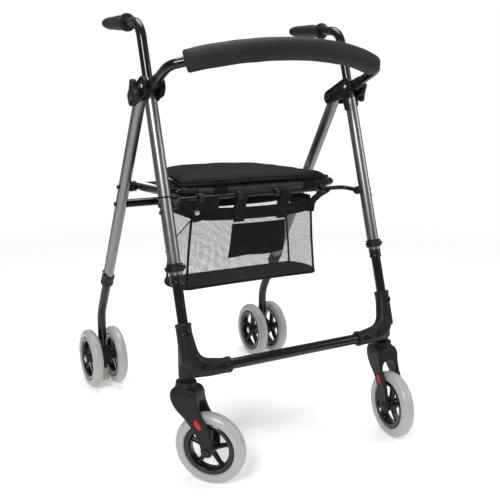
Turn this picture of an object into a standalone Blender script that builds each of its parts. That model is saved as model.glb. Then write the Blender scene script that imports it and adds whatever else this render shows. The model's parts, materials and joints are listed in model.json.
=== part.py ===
"""Rollator walker with push-down brakes: four wheel positions, folding rear frame, seat and bag.

Metres, +Z up. The front (casters) faces -Y, the person walking with it stands at +Y and faces -Y,
so "right" in a name is the user's right side, at -X. The floor is z = 0.
"""
import math
import bpy
import bmesh
from mathutils import Matrix, Vector

NAME = "Rollator_Walker"

# ---- driving dimensions -------------------------------------------------------------------
GAP = 0.0003                       # clearance between touching pieces
LEG_X = 0.2415                     # both legs of a side lie in this plane

HUB_Y, HUB_Z = -0.094, 0.770       # a point on the front leg's axis, inside the hub
FRONT_LEAN = math.radians(18.0)    # front leg leans back going up
PIVOT_Y, PIVOT_Z = -0.044, 0.744   # rear leg pivot in the hub
REAR_LEAN = math.radians(31.7)     # rear leg leans forward going up

OUTER_R, OUTER_BORE = 0.0127, 0.0113     # silver upper tubes
LOWER_FRONT_R = 0.0103
LOWER_REAR_R = 0.0109
HOLE_PITCH = 0.0254                # leg length adjustment holes

FRONT_TUBE_TOP, FRONT_TUBE_END = -0.0115, 0.3785   # distances below the hub point
FRONT_LOWER_TOP, FRONT_LOWER_END = 0.2750, 0.5310
REAR_TUBE_TOP, REAR_TUBE_END = -0.0100, 0.5250     # distances below the pivot
REAR_LOWER_TOP = 0.4150

PLATE_IN, PLATE_T = 0.0130, 0.0085       # hub plates either side of the tubes
HUB_FRONT_Y, HUB_FRONT_Z = -0.110, 0.767
HUB_FRONT_R, HUB_REAR_R = 0.0205, 0.0155
HUB_BOLT_Y, HUB_BOLT_Z = -0.0765, 0.7585
KNOB_S = 0.0128                          # knob below the hub point on the leg axis

STEM_Y = -0.250                    # vertical caster stem axis
CASTER_TRAIL = 0.050
SWIVEL = {-1: math.radians(-48.0), 1: math.radians(-96.0)}   # heading of each caster
FRONT_WHEEL_R, FRONT_WHEEL_W = 0.0735, 0.029
REAR_WHEEL_R, REAR_WHEEL_W = 0.075, 0.027
REAR_AXLE_Y = 0.298
REAR_WHEEL_OFF = 0.032             # wheel centre either side of the leg plane

CROSS_Y, CROSS_Z, CROSS_R = -0.269, 0.231, 0.011
BRACKET_R = 0.0157
BAR_R = 0.0095                     # backrest and rear cross tubes
PAD_R = 0.0218
ROD_R = 0.0048
SEAT_TUBE_R = 0.008
HANDLE_R = 0.0100

SEAT_PIVOT_S = 0.2290              # seat bolts below the pivot, along the rear leg
REAR_CROSS_S = 0.2780
CROSS_END = 0.2050                 # half length of the cross bar
BRACKET_TOP_S = 0.4720             # mouth of the corner bracket on the leg axis
BRACKET_REACH = 0.1545             # its other mouth, from the middle of the walker
LOCK_RING_Z = 0.4237
TUBE_WALL = 0.0016
PIVOT_BOLT_R, HUB_BOLT_R, KNOB_SCREW_R = 0.0040, 0.0030, 0.0036
STEM_R = 0.0055                    # caster stem
NECK_TOP, STEM_TOP, CAP_TOP = 0.2137, 0.2380, 0.2090
ROD_Y, ROD_Z = -0.130, 0.544
ROD_END_S = 0.2410                 # where the rod meets the legs

# ---- small helpers ------------------------------------------------------------------------
for old in list(bpy.data.objects):
    bpy.data.objects.remove(old, do_unlink=True)


def collection(name):
    group = bpy.data.collections.new(name)
    bpy.context.scene.collection.children.link(group)
    return group


PARTS = collection(NAME)
CUTTERS = collection("Cutters")


def material(name, colour, roughness, metallic=0.0):
    mat = bpy.data.materials.new(name)
    mat.use_nodes = True
    shader = mat.node_tree.nodes["Principled BSDF"]
    shader.inputs["Base Color"].default_value = (*colour, 1.0)
    shader.inputs["Roughness"].default_value = roughness
    shader.inputs["Metallic"].default_value = metallic
    return mat


LOOKS = {
    "silver": ((0.42, 0.42, 0.43), 0.38, 0.9),
    "black_tube": ((0.012, 0.012, 0.013), 0.22, 0.2),
    "plastic": ((0.022, 0.023, 0.022), 0.55, 0.0),
    "gloss_plastic": ((0.012, 0.012, 0.013), 0.25, 0.0),
    "tyre": ((0.36, 0.35, 0.40), 0.5, 0.0),
    "bolt": ((0.62, 0.62, 0.62), 0.25, 1.0),
    "foam": ((0.030, 0.032, 0.030), 0.85, 0.0),
    "fabric": ((0.010, 0.010, 0.011), 0.9, 0.0),
    "mesh": ((0.05, 0.05, 0.05), 0.8, 0.0),
    "cream": ((0.62, 0.60, 0.50), 0.6, 0.0),
}


def add(name, data, look):
    obj = bpy.data.objects.new(name, data)
    PARTS.objects.link(obj)
    if look:
        data.materials.clear()
        data.materials.append(material(name, *LOOKS[look]))
    return obj


def as_cutter(obj):
    for group in list(obj.users_collection):
        group.objects.unlink(obj)
    CUTTERS.objects.link(obj)
    obj.hide_render = True
    obj.display_type = "WIRE"
    return obj


def boolean(obj, other, operation):
    mod = obj.modifiers.new(operation.title(), "BOOLEAN")
    mod.operation = operation
    mod.object = as_cutter(other)
    return obj


def cut(obj, other):
    return boolean(obj, other, "DIFFERENCE")


def join(obj, other):
    return boolean(obj, other, "UNION")


def frozen(obj):
    """The object's evaluated shape as a plain welded mesh object of the same name."""
    depsgraph = bpy.context.evaluated_depsgraph_get()
    mesh = bpy.data.meshes.new_from_object(obj.evaluated_get(depsgraph))
    shape = bmesh.new()
    shape.from_mesh(mesh)
    bmesh.ops.remove_doubles(shape, verts=shape.verts, dist=0.00001)
    bmesh.ops.recalc_face_normals(shape, faces=shape.faces)
    shape.to_mesh(mesh)
    shape.free()
    name, matrix, groups = obj.name, obj.matrix_world.copy(), list(obj.users_collection)
    bpy.data.objects.remove(obj, do_unlink=True)
    new = bpy.data.objects.new(name, mesh)
    new.matrix_world = matrix
    for group in groups:
        group.objects.link(new)
    return new


def smooth(obj, degrees=35.0):
    obj.data.shade_smooth()
    obj.data.set_sharp_from_angle(angle=math.radians(degrees))
    return obj


def turned(name, profile, look, steps=24, ring=False):
    """A profile of (radius, height) turned about Z; the outer side runs from top to bottom."""
    mesh = bpy.data.meshes.new(name)
    count = len(profile)
    edges = [(i, i + 1) for i in range(count - 1)] + ([(count - 1, 0)] if ring else [])
    mesh.from_pydata([(radius, 0.0, height) for radius, height in profile], edges, [])
    obj = add(name, mesh, look)
    screw = obj.modifiers.new("Screw", "SCREW")
    screw.axis = "Z"
    screw.steps = screw.render_steps = steps
    screw.use_merge_vertices = True
    screw.merge_threshold = 0.00001
    return obj


def sleeve(name, outer, bore, top, bottom, look, steps=24):
    """A hollow tube about Z."""
    ring = [(outer, top), (outer, bottom), (bore, bottom), (bore, top)]
    return turned(name, ring, look, steps, ring=True)


def box(name, size, look=None):
    mesh = bpy.data.meshes.new(name)
    shape = bmesh.new()
    bmesh.ops.create_cube(shape, size=1.0)
    bmesh.ops.scale(shape, vec=size, verts=shape.verts)
    shape.to_mesh(mesh)
    shape.free()
    return add(name, mesh, look)


def pin(name, start, end, radius, look=None, sides=20):
    """A solid round bar from start to end."""
    start, end = Vector(start), Vector(end)
    mesh = bpy.data.meshes.new(name)
    shape = bmesh.new()
    bmesh.ops.create_cone(shape, cap_ends=True, segments=sides, radius1=radius, radius2=radius,
                          depth=(end - start).length)
    shape.to_mesh(mesh)
    shape.free()
    obj = add(name, mesh, look)
    obj.location = (start + end) / 2.0
    obj.rotation_euler = (end - start).to_track_quat("Z", "Y").to_euler()
    return obj


def tube(name, points, radius, look, sides=2, radii=None):
    """A round tube along points; radii holds a factor per point."""
    curve = bpy.data.curves.new(name, "CURVE")
    curve.dimensions = "3D"
    curve.bevel_depth = radius
    curve.bevel_resolution = sides
    curve.use_fill_caps = True
    spline = curve.splines.new("POLY")
    spline.points.add(len(points) - 1)
    for index, point in enumerate(points):
        spline.points[index].co = (*point, 1.0)
        spline.points[index].radius = radii[index] if radii else 1.0
    return add(name, curve, look)


def plate(name, loops, thickness, look):
    """A flat outline, with holes for the further loops, centred on its own XY plane."""
    curve = bpy.data.curves.new(name, "CURVE")
    curve.dimensions = "2D"
    curve.fill_mode = "BOTH"
    curve.extrude = thickness / 2.0
    for loop in loops:
        spline = curve.splines.new("POLY")
        spline.points.add(len(loop) - 1)
        for index, point in enumerate(loop):
            spline.points[index].co = (point[0], point[1], 0.0, 1.0)
        spline.use_cyclic_u = True
    return add(name, curve, look)


def circle(centre, radius, count=20):
    return [(centre[0] + radius * math.cos(2 * math.pi * i / count),
             centre[1] + radius * math.sin(2 * math.pi * i / count)) for i in range(count)]


def arc(centre, radius, start, end, count):
    return [(centre[0] + radius * math.cos(start + (end - start) * i / count),
             centre[1] + radius * math.sin(start + (end - start) * i / count))
            for i in range(count + 1)]


def rounded(corners, radii, steps=6):
    """A path through corners, each inner corner replaced by an arc of its radius."""
    points = [Vector(corners[0])]
    for index in range(1, len(corners) - 1):
        before, here, after = (Vector(corners[index + k]) for k in (-1, 0, 1))
        to_before, to_after = (before - here).normalized(), (after - here).normalized()
        half = to_before.angle(to_after) / 2.0
        radius = radii[index - 1]
        reach = radius / math.tan(half)
        centre = here + (to_before + to_after).normalized() * radius / math.sin(half)
        first = here + to_before * reach - centre
        last = here + to_after * reach - centre
        turn = first.angle(last)
        for step in range(steps + 1):
            share = step / steps
            mixed = (first * math.sin((1 - share) * turn) + last * math.sin(share * turn))
            points.append(centre + mixed / math.sin(turn))
    points.append(Vector(corners[-1]))
    return points


def mirror_x(points):
    return [Vector((-p[0], p[1], p[2])) for p in points]


def front_point(s, side=1, out=0.0):
    """Point s below the hub point on the front leg's axis, moved outwards by out."""
    return Vector((side * (LEG_X + out), HUB_Y - s * math.sin(FRONT_LEAN),
                   HUB_Z - s * math.cos(FRONT_LEAN)))


def rear_point(s, side=1, out=0.0):
    """Point s below the pivot on the rear leg's axis, moved outwards by out."""
    return Vector((side * (LEG_X + out), PIVOT_Y + s * math.sin(REAR_LEAN),
                   PIVOT_Z - s * math.cos(REAR_LEAN)))


def on_front(obj, side):
    obj.location = front_point(0.0, side)
    obj.rotation_euler = (-FRONT_LEAN, 0.0, 0.0)
    return obj


def on_rear(obj, side):
    obj.location = rear_point(0.0, side)
    obj.rotation_euler = (REAR_LEAN, 0.0, 0.0)
    return obj


def upright(obj, x):
    """Stands a plate in the YZ plane: its X runs along +Y and its Y along +Z."""
    obj.rotation_euler = (math.pi / 2.0, 0.0, math.pi / 2.0)
    obj.location = (x, 0.0, 0.0)
    return obj


def axis_point(name, location, rotation=(0.0, 0.0, 0.0)):
    """An empty on a joint's axis, which carries the pieces that turn or slide there."""
    empty = bpy.data.objects.new(name, None)
    empty.empty_display_size = 0.03
    empty.location = location
    empty.rotation_euler = rotation
    PARTS.objects.link(empty)
    return empty


def carry(parent, children):
    bpy.context.view_layer.update()
    for child in children:
        child.parent = parent
        child.matrix_parent_inverse = parent.matrix_world.inverted()


def tag(side):
    return "right" if side < 0 else "left"


# ---- wheels -------------------------------------------------------------------------------
RIM_STEPS = 24
SPOKES = 5
HUB_R, WINDOW_IN, AXLE_R = 0.0125, 0.0160, 0.0042
SPOKE_HALF = 0.0046


def wheel_centre_mesh(name, rim_r, ring, half_hub, half_rim):
    """Rim and five spokes cut from one disc, with a wider hub, turned to stand across X."""
    window_out = rim_r - ring
    windows = []
    for index in range(SPOKES):
        middle = 2 * math.pi * (index + 0.5) / SPOKES
        spread_out = math.pi / SPOKES - math.asin(SPOKE_HALF / window_out)
        spread_in = math.pi / SPOKES - math.asin(SPOKE_HALF / WINDOW_IN)
        windows.append(arc((0, 0), window_out, middle - spread_out, middle + spread_out, 3)
                       + arc((0, 0), WINDOW_IN, middle + spread_in, middle - spread_in, 1))
    web = frozen(plate(name, [circle((0, 0), rim_r, RIM_STEPS)] + windows, 2 * half_rim, "gloss_plastic"))
    hub = turned(name + "_hub", [(0, half_hub), (HUB_R, half_hub), (HUB_R, -half_hub), (0, -half_hub)],
                 None, 12)
    bore = pin(name + "_bore", (0, 0, -0.05), (0, 0, 0.05), AXLE_R + 2 * GAP, sides=10)
    join(web, hub)
    cut(web, bore)
    made = smooth(frozen(web), 30)
    mesh = made.data
    mesh.transform(Matrix.Rotation(math.pi / 2.0, 4, "Y"))
    bpy.data.objects.remove(made, do_unlink=True)
    return mesh


def tyre_mesh(name, radius, inner, width):
    """A solid tyre with a rounded tread, turned to stand across X."""
    half, crown = width / 2.0, 0.006
    ring = [(inner, half - 0.003), (inner + 0.004, half), (radius - crown, half), (radius, half - crown),
            (radius, crown - half), (radius - crown, -half), (inner + 0.004, -half), (inner, 0.003 - half)]
    obj = smooth(frozen(turned(name, ring, "tyre", RIM_STEPS, ring=True)), 50)
    mesh = obj.data
    mesh.transform(Matrix.Rotation(math.pi / 2.0, 4, "Y"))
    bpy.data.objects.remove(obj, do_unlink=True)
    return mesh


FRONT_RIM_R, REAR_RIM_R, RIM_RING = 0.0530, 0.0570, 0.0125
front_centre = wheel_centre_mesh("front_centre", FRONT_RIM_R, RIM_RING, 0.0155, 0.0105)
rear_centre = wheel_centre_mesh("rear_centre", REAR_RIM_R, RIM_RING, 0.0150, 0.0100)
front_tyre = tyre_mesh("front_tyre", FRONT_WHEEL_R, FRONT_RIM_R + GAP, FRONT_WHEEL_W)
rear_tyre = tyre_mesh("rear_tyre", REAR_WHEEL_R, REAR_RIM_R + GAP, REAR_WHEEL_W)


def wheel(suffix, centre, tyre, location, turn=0.0):
    """Tyre and wheel centre on one axle point; turn is the heading of the axle about Z."""
    pieces = []
    for stem, mesh, look in (("wheel_centre_", centre, "gloss_plastic"), ("tyre_", tyre, "tyre")):
        piece = bpy.data.objects.new(stem + suffix, mesh.copy())
        piece.data.materials.clear()
        piece.data.materials.append(material(piece.name, *LOOKS[look]))
        PARTS.objects.link(piece)
        piece.location = location
        piece.rotation_euler = (0.0, 0.0, turn)
        pieces.append(piece)
    return pieces


# ---- shapes repeated on both sides ----------------------------------------------------------
def hub_outline():
    """Hull of the pivot circle and the larger clamp circle, in (y, z)."""
    ahead, behind = Vector((HUB_FRONT_Y, HUB_FRONT_Z)), Vector((PIVOT_Y, PIVOT_Z))
    along = ahead - behind
    heading = math.atan2(along.y, along.x)
    lean = math.acos((HUB_REAR_R - HUB_FRONT_R) / along.length)
    big = arc(ahead, HUB_FRONT_R, heading - (math.pi - lean), heading + (math.pi - lean), 9)
    small = arc(behind, HUB_REAR_R, heading + (math.pi - lean), heading + (math.pi + lean), 6)
    return big + small


TAB_HALF, TAB_START, TAB_END = 0.0060, 0.0175, 0.0570       # tab of each plate that runs down the front leg


def hub_plate(name, side, offset, holes):
    loops = [hub_outline()] + [circle(centre, radius, 10) for centre, radius in holes]
    body = frozen(upright(plate(name, loops, PLATE_T, "plastic"), side * (LEG_X + offset)))
    tab = box(name + "_tab", (PLATE_T * 0.5, 2 * TAB_HALF, TAB_END - TAB_START))
    tab.location = front_point((TAB_END + TAB_START) / 2.0, side)
    tab.location.x = side * (LEG_X + offset)
    tab.rotation_euler = (-FRONT_LEAN, 0.0, 0.0)
    return join(body, tab)


def dumbbell(name, half, shank_r, head_r, head_t, look="bolt"):
    """A bolt with a head at each end, about Z."""
    ends = half + head_t
    profile = [(0, ends), (head_r * 0.8, ends), (head_r, half + GAP), (shank_r, half + GAP),
               (shank_r, -half - GAP), (head_r, -half - GAP), (head_r * 0.8, -ends), (0, -ends)]
    return turned(name, profile, look, 10)


FORK_HALF, SLOT_HALF = 0.0250, 0.0172
FORK_TOP = 0.1970
FRONT_AXLE_Z = FRONT_WHEEL_R


def fork(name):
    """Caster fork in its own frame: stem on Z, wheel ahead along +X."""
    front_edge = [(0.0225, FORK_TOP), (0.0300, 0.185), (0.0315, 0.168), (0.0385, 0.148),
                  (0.0545, 0.124), (0.0620, 0.100)]
    rear_edge = [(0.0370, 0.082), (0.0260, 0.108), (0.0075, 0.134), (-0.0120, 0.153),
                 (-0.0225, 0.170), (-0.0250, 0.185), (-0.0225, FORK_TOP)]
    foot = arc((CASTER_TRAIL, FRONT_AXLE_Z), 0.0125, math.radians(15), math.radians(-195), 10)
    side_view = plate(name, [front_edge + foot + rear_edge], 2 * FORK_HALF, "plastic")
    side_view.rotation_euler = (math.pi / 2.0, 0.0, 0.0)
    body = frozen(side_view)
    half = [(0.0215, FORK_TOP), (FORK_HALF, 0.183), (FORK_HALF, 0.120), (0.0235, 0.055)]
    front_view = plate(name + "_front_view", [half + [(-y, z) for y, z in reversed(half)]], 0.3, None)
    front_view = frozen(upright(front_view, 0.0))
    boolean(body, front_view, "INTERSECT")
    slot_top = 0.1520
    slot = [(SLOT_HALF, 0.02)] + arc((0, slot_top), SLOT_HALF, 0.0, math.pi, 8) + [(-SLOT_HALF, 0.02)]
    cut(body, frozen(upright(plate(name + "_slot", [slot], 0.3, None), 0.0)))
    bore = pin(name + "_bore", (CASTER_TRAIL, -0.05, FRONT_AXLE_Z), (CASTER_TRAIL, 0.05, FRONT_AXLE_Z),
               AXLE_R + 2 * GAP, sides=10)
    cut(body, bore)
    return body


def caster(side):
    name = tag(side)
    stem_axis = axis_point("Swivel_Axis_" + name, (side * LEG_X, STEM_Y, 0.0), (0, 0, SWIVEL[side]))
    body = smooth(frozen(fork("caster_fork_" + name)), 30)
    cap = turned("caster_cap_" + name,
                 [(0, STEM_TOP), (STEM_R, STEM_TOP), (STEM_R, NECK_TOP), (0.0095, NECK_TOP - GAP),
                  (0.0100, CAP_TOP), (0.0180, CAP_TOP - 0.0015), (0.0215, CAP_TOP - 0.0055),
                  (0.0215, FORK_TOP + 0.0025), (0.0200, FORK_TOP + GAP), (0, FORK_TOP + GAP)],
                 "plastic", 16)
    axle = dumbbell("front_axle_" + name, FORK_HALF, AXLE_R, 0.0062, 0.0030)
    axle.rotation_euler = (math.pi / 2.0, 0.0, 0.0)
    axle.location = (CASTER_TRAIL, 0.0, FRONT_AXLE_Z)
    turning = Matrix.Translation((side * LEG_X, STEM_Y, 0.0)) @ Matrix.Rotation(SWIVEL[side], 4, "Z")
    bpy.context.view_layer.update()
    for piece in (body, cap, axle):
        piece.matrix_world = turning @ piece.matrix_world
    centre = turning @ Vector((CASTER_TRAIL, 0.0, FRONT_AXLE_Z))
    wheel_axis = axis_point("Front_Wheel_Axis_" + name, centre, (0, 0, SWIVEL[side]))
    pieces = wheel("front_" + name, front_centre, front_tyre, centre, SWIVEL[side] + math.pi / 2.0)
    carry(wheel_axis, pieces)
    carry(stem_axis, [body, cap, axle, wheel_axis])


def bracket(side):
    """Elbow that joins the lower front tube, the cross bar and the caster stem."""
    name = "corner_bracket_" + tag(side)
    corner = Vector((side * LEG_X, CROSS_Y + 0.001, CROSS_Z))
    top = front_point(BRACKET_TOP_S, side)
    end = Vector((side * BRACKET_REACH, CROSS_Y, CROSS_Z))
    body = frozen(tube(name, rounded([top, corner, end], [0.050], 5), BRACKET_R, "plastic", 3))
    boss = pin(name + "_boss", (side * LEG_X, STEM_Y, NECK_TOP + GAP), (side * LEG_X, STEM_Y, 0.2800),
               0.0150, sides=14)
    heel = pin(name + "_heel", (side * (LEG_X + 0.002), CROSS_Y + 0.004, CROSS_Z + 0.001),
               (side * 0.190, CROSS_Y, CROSS_Z), BRACKET_R - 0.0006, sides=14)
    shin = pin(name + "_shin", front_point(BRACKET_TOP_S + 0.012, side), front_point(0.5450, side),
               BRACKET_R - 0.0003, sides=14)
    for piece in (boss, heel, shin):
        join(body, piece)
    cut(body, pin(name + "_leg_bore", front_point(0.44, side), front_point(FRONT_LOWER_END + GAP, side),
                  LOWER_FRONT_R + 2 * GAP, sides=16))
    cut(body, pin(name + "_bar_bore", (0, CROSS_Y, CROSS_Z), (side * (CROSS_END + GAP), CROSS_Y, CROSS_Z),
                  CROSS_R + 2 * GAP, sides=16))
    cut(body, pin(name + "_stem_bore", (side * LEG_X, STEM_Y, 0.19), (side * LEG_X, STEM_Y, STEM_TOP + GAP),
                  STEM_R + 2 * GAP, sides=10))
    return smooth(frozen(body), 30)


# ---- front frame: fixed pieces --------------------------------------------------------------
for side in (-1, 1):
    name = tag(side)
    upper = sleeve("front_upper_tube_" + name, OUTER_R, OUTER_BORE, -FRONT_TUBE_TOP, -FRONT_TUBE_END,
                   "silver", 20)
    on_front(upper, side)
    knob_hole = pin("knob_hole_" + name, front_point(KNOB_S, side, 0.004), front_point(KNOB_S, side, 0.03),
                    KNOB_SCREW_R + 2 * GAP, sides=8)
    cut(upper, knob_hole)

    ring_s = (HUB_Z - LOCK_RING_Z) / math.cos(FRONT_LEAN)
    ring = turned("lock_ring_" + name, [(0, 0.0078), (0.0155, 0.0078), (0.0155, -0.0078), (0, -0.0078)],
                  "plastic", 20)
    ears = box("lock_ears_" + name, (0.0370, 0.0110, 0.0090))
    bore = pin("lock_bore_" + name, (0, 0, -0.02), (0, 0, 0.02), OUTER_R + GAP, sides=20)
    for piece in (ring, ears, bore):
        piece.matrix_world = (Matrix.Translation(front_point(ring_s, side))
                              @ Matrix.Rotation(-FRONT_LEAN, 4, "X") @ Matrix.Rotation(0.5 * side, 4, "Z"))
    join(ring, ears)
    cut(ring, bore)

    bushing = sleeve("end_bushing_" + name, OUTER_R + 0.0004, LOWER_FRONT_R + GAP,
                     -FRONT_TUBE_END - GAP, -FRONT_TUBE_END - 0.0165, "plastic", 20)
    on_front(bushing, side)

    pivot_hole = ((PIVOT_Y, PIVOT_Z), PIVOT_BOLT_R + GAP)
    bolt_hole = ((HUB_BOLT_Y, HUB_BOLT_Z), HUB_BOLT_R + GAP)
    knob_centre = front_point(KNOB_S, side)
    middle = PLATE_IN + PLATE_T / 2.0
    hub_plate("hub_inner_plate_" + name, side, -middle, [pivot_hole, bolt_hole])
    hub_plate("hub_outer_plate_" + name, side, middle,
              [pivot_hole, bolt_hole, ((knob_centre.y, knob_centre.z), KNOB_SCREW_R + 2 * GAP)])
    half_hub = PLATE_IN + PLATE_T
    pivot = dumbbell("pivot_bolt_" + name, half_hub, PIVOT_BOLT_R, 0.0075, 0.0035)
    pivot.location = (side * LEG_X, PIVOT_Y, PIVOT_Z)
    bolt = dumbbell("hub_bolt_" + name, half_hub, HUB_BOLT_R, 0.0055, 0.0030)
    bolt.location = (side * LEG_X, HUB_BOLT_Y, HUB_BOLT_Z)
    for piece in (pivot, bolt):
        piece.rotation_euler = (0.0, math.pi / 2.0, 0.0)

# backrest: a bowed bar that rises towards its middle, with a foam pad on the bowed part
PAD_END = Vector((0.2144, -0.2123, 0.8121))
PAD_SAG = 0.0570
FORWARD_UP = Vector((0.0, -0.894, 0.447))
PAD_BEND_R = (PAD_END.x ** 2 + PAD_SAG ** 2) / (2 * PAD_SAG)
PAD_HALF_ANGLE = math.asin(PAD_END.x / PAD_BEND_R)


def pad_point(angle):
    middle = Vector((0.0, PAD_END.y, PAD_END.z)) + FORWARD_UP * (PAD_SAG - PAD_BEND_R)
    return middle + Vector((1, 0, 0)) * PAD_BEND_R * math.sin(angle) + FORWARD_UP * PAD_BEND_R * math.cos(angle)


bow = [pad_point(PAD_HALF_ANGLE * (1 - i / 6)) for i in range(13)]
bar_start = Vector((LEG_X, -0.1185, 0.7713))
bar_shoulder = Vector((LEG_X, -0.1440, 0.7821))
elbow = Vector((LEG_X, -0.1985, 0.8052))
arm = rounded([bar_shoulder, elbow, bow[0]], [0.026], 5)
half_path = [bar_start] + arm
bar_path = half_path[:-1] + bow + list(reversed(mirror_x(half_path[:-1])))
collar_factor = (PLATE_IN - GAP) / BAR_R
bar_radii = [collar_factor if i < 2 or i >= len(bar_path) - 2 else 1.0 for i in range(len(bar_path))]
tube("backrest_bar", bar_path, BAR_R, "black_tube", 2, bar_radii)

pad = frozen(tube("backrest_pad", bow, PAD_R, "foam", 3))
cut(pad, frozen(tube("pad_bore", bar_path, BAR_R + GAP, None, 2)))

# front rod, cranked at both ends to meet the front tubes
rod_end = front_point(ROD_END_S, 1, -(OUTER_R + GAP))
rod_half = rounded([rod_end, rod_end + Vector((-0.0075, 0.0, 0.0)), Vector((0.2120, ROD_Y, ROD_Z)),
                    Vector((0.150, ROD_Y, ROD_Z))], [0.004, 0.018], 4)
tube("front_rod", rod_half + list(reversed(mirror_x(rod_half))), ROD_R, "black_tube", 2)

# storage bag hung from the rod by two straps
BAG_X, BAG_FRONT, BAG_REAR, BAG_BOTTOM, BAG_TOP = 0.1650, -0.0850, 0.0300, 0.3360, 0.5000
BAG_WALL = 0.0025
bag_mesh = bpy.data.meshes.new("storage_bag")
shape = bmesh.new()
bmesh.ops.create_cube(shape, size=1.0)
bmesh.ops.scale(shape, vec=(2 * BAG_X, BAG_REAR - BAG_FRONT, BAG_TOP - BAG_BOTTOM), verts=shape.verts)
bmesh.ops.translate(shape, vec=(0, (BAG_REAR + BAG_FRONT) / 2, (BAG_TOP + BAG_BOTTOM) / 2), verts=shape.verts)
lid = max(shape.faces, key=lambda face: face.calc_center_median().z)
bmesh.ops.delete(shape, geom=[lid], context="FACES_ONLY")
shape.to_mesh(bag_mesh)
shape.free()
bag = add("storage_bag", bag_mesh, "mesh")
skin = bag.modifiers.new("Solidify", "SOLIDIFY")
skin.thickness = BAG_WALL
skin.offset = -1.0
skin.use_even_offset = True
STRAP_W, STRAP_T = 0.0280, 0.0025
strap_low = Vector((0.0, BAG_FRONT + 0.0015, BAG_TOP - 0.010))
strap_high = Vector((0.0, ROD_Y + 0.0008, ROD_Z - ROD_R - STRAP_T / 2 - 0.0005))
for index, strap_x in enumerate((-0.036, 0.073)):
    strap = box("strap_%d" % index, (STRAP_W, STRAP_T, (strap_high - strap_low).length))
    strap.location = (strap_low + strap_high) / 2 + Vector((strap_x, 0, 0))
    strap.rotation_euler = (math.atan2(-(strap_high.y - strap_low.y), strap_high.z - strap_low.z), 0, 0)
    join(bag, strap)

# ---- front lower frame ----------------------------------------------------------------------
front_slide = axis_point("Front_Leg_Slide", front_point(BRACKET_TOP_S, 1), (-FRONT_LEAN, 0, 0))
lower_front = []
for side in (-1, 1):
    lower = sleeve("front_lower_tube_" + tag(side), LOWER_FRONT_R, LOWER_FRONT_R - TUBE_WALL,
                   -FRONT_LOWER_TOP, -FRONT_LOWER_END, "black_tube", 16)
    lower_front += [on_front(lower, side), bracket(side)]
cross = sleeve("cross_bar", CROSS_R, CROSS_R - TUBE_WALL, CROSS_END, -CROSS_END, "black_tube", 16)
cross.rotation_euler = (0.0, math.pi / 2.0, 0.0)
cross.location = (0.0, CROSS_Y, CROSS_Z)
carry(front_slide, lower_front + [cross])
for side in (-1, 1):
    caster(side)
for side in (-1, 1):
    swivel = bpy.data.objects["Swivel_Axis_" + tag(side)]
    carry(front_slide, [swivel])

# ---- rear frame -----------------------------------------------------------------------------
fold = axis_point("Fold_Axis", (0.0, PIVOT_Y, PIVOT_Z))
COLLAR_R, COLLAR_H = 0.0152, 0.0300
FOOT_R, FOOT_LOW, FOOT_HIGH = 0.0130, 0.0100, 0.0440
BLOCK_X, BLOCK_Y = 0.0160, 0.0175          # half sizes of the wheel carriage
BLOCK_LOW, BLOCK_HIGH = 0.0555, 0.1000
AXLE_REACH = REAR_WHEEL_OFF + 0.0150 + GAP     # to the inner face of the axle's heads
AXLE_HEAD_T = 0.0030
BEND_Z = PIVOT_Z - (REAR_AXLE_Y - PIVOT_Y) / math.tan(REAR_LEAN)

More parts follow.
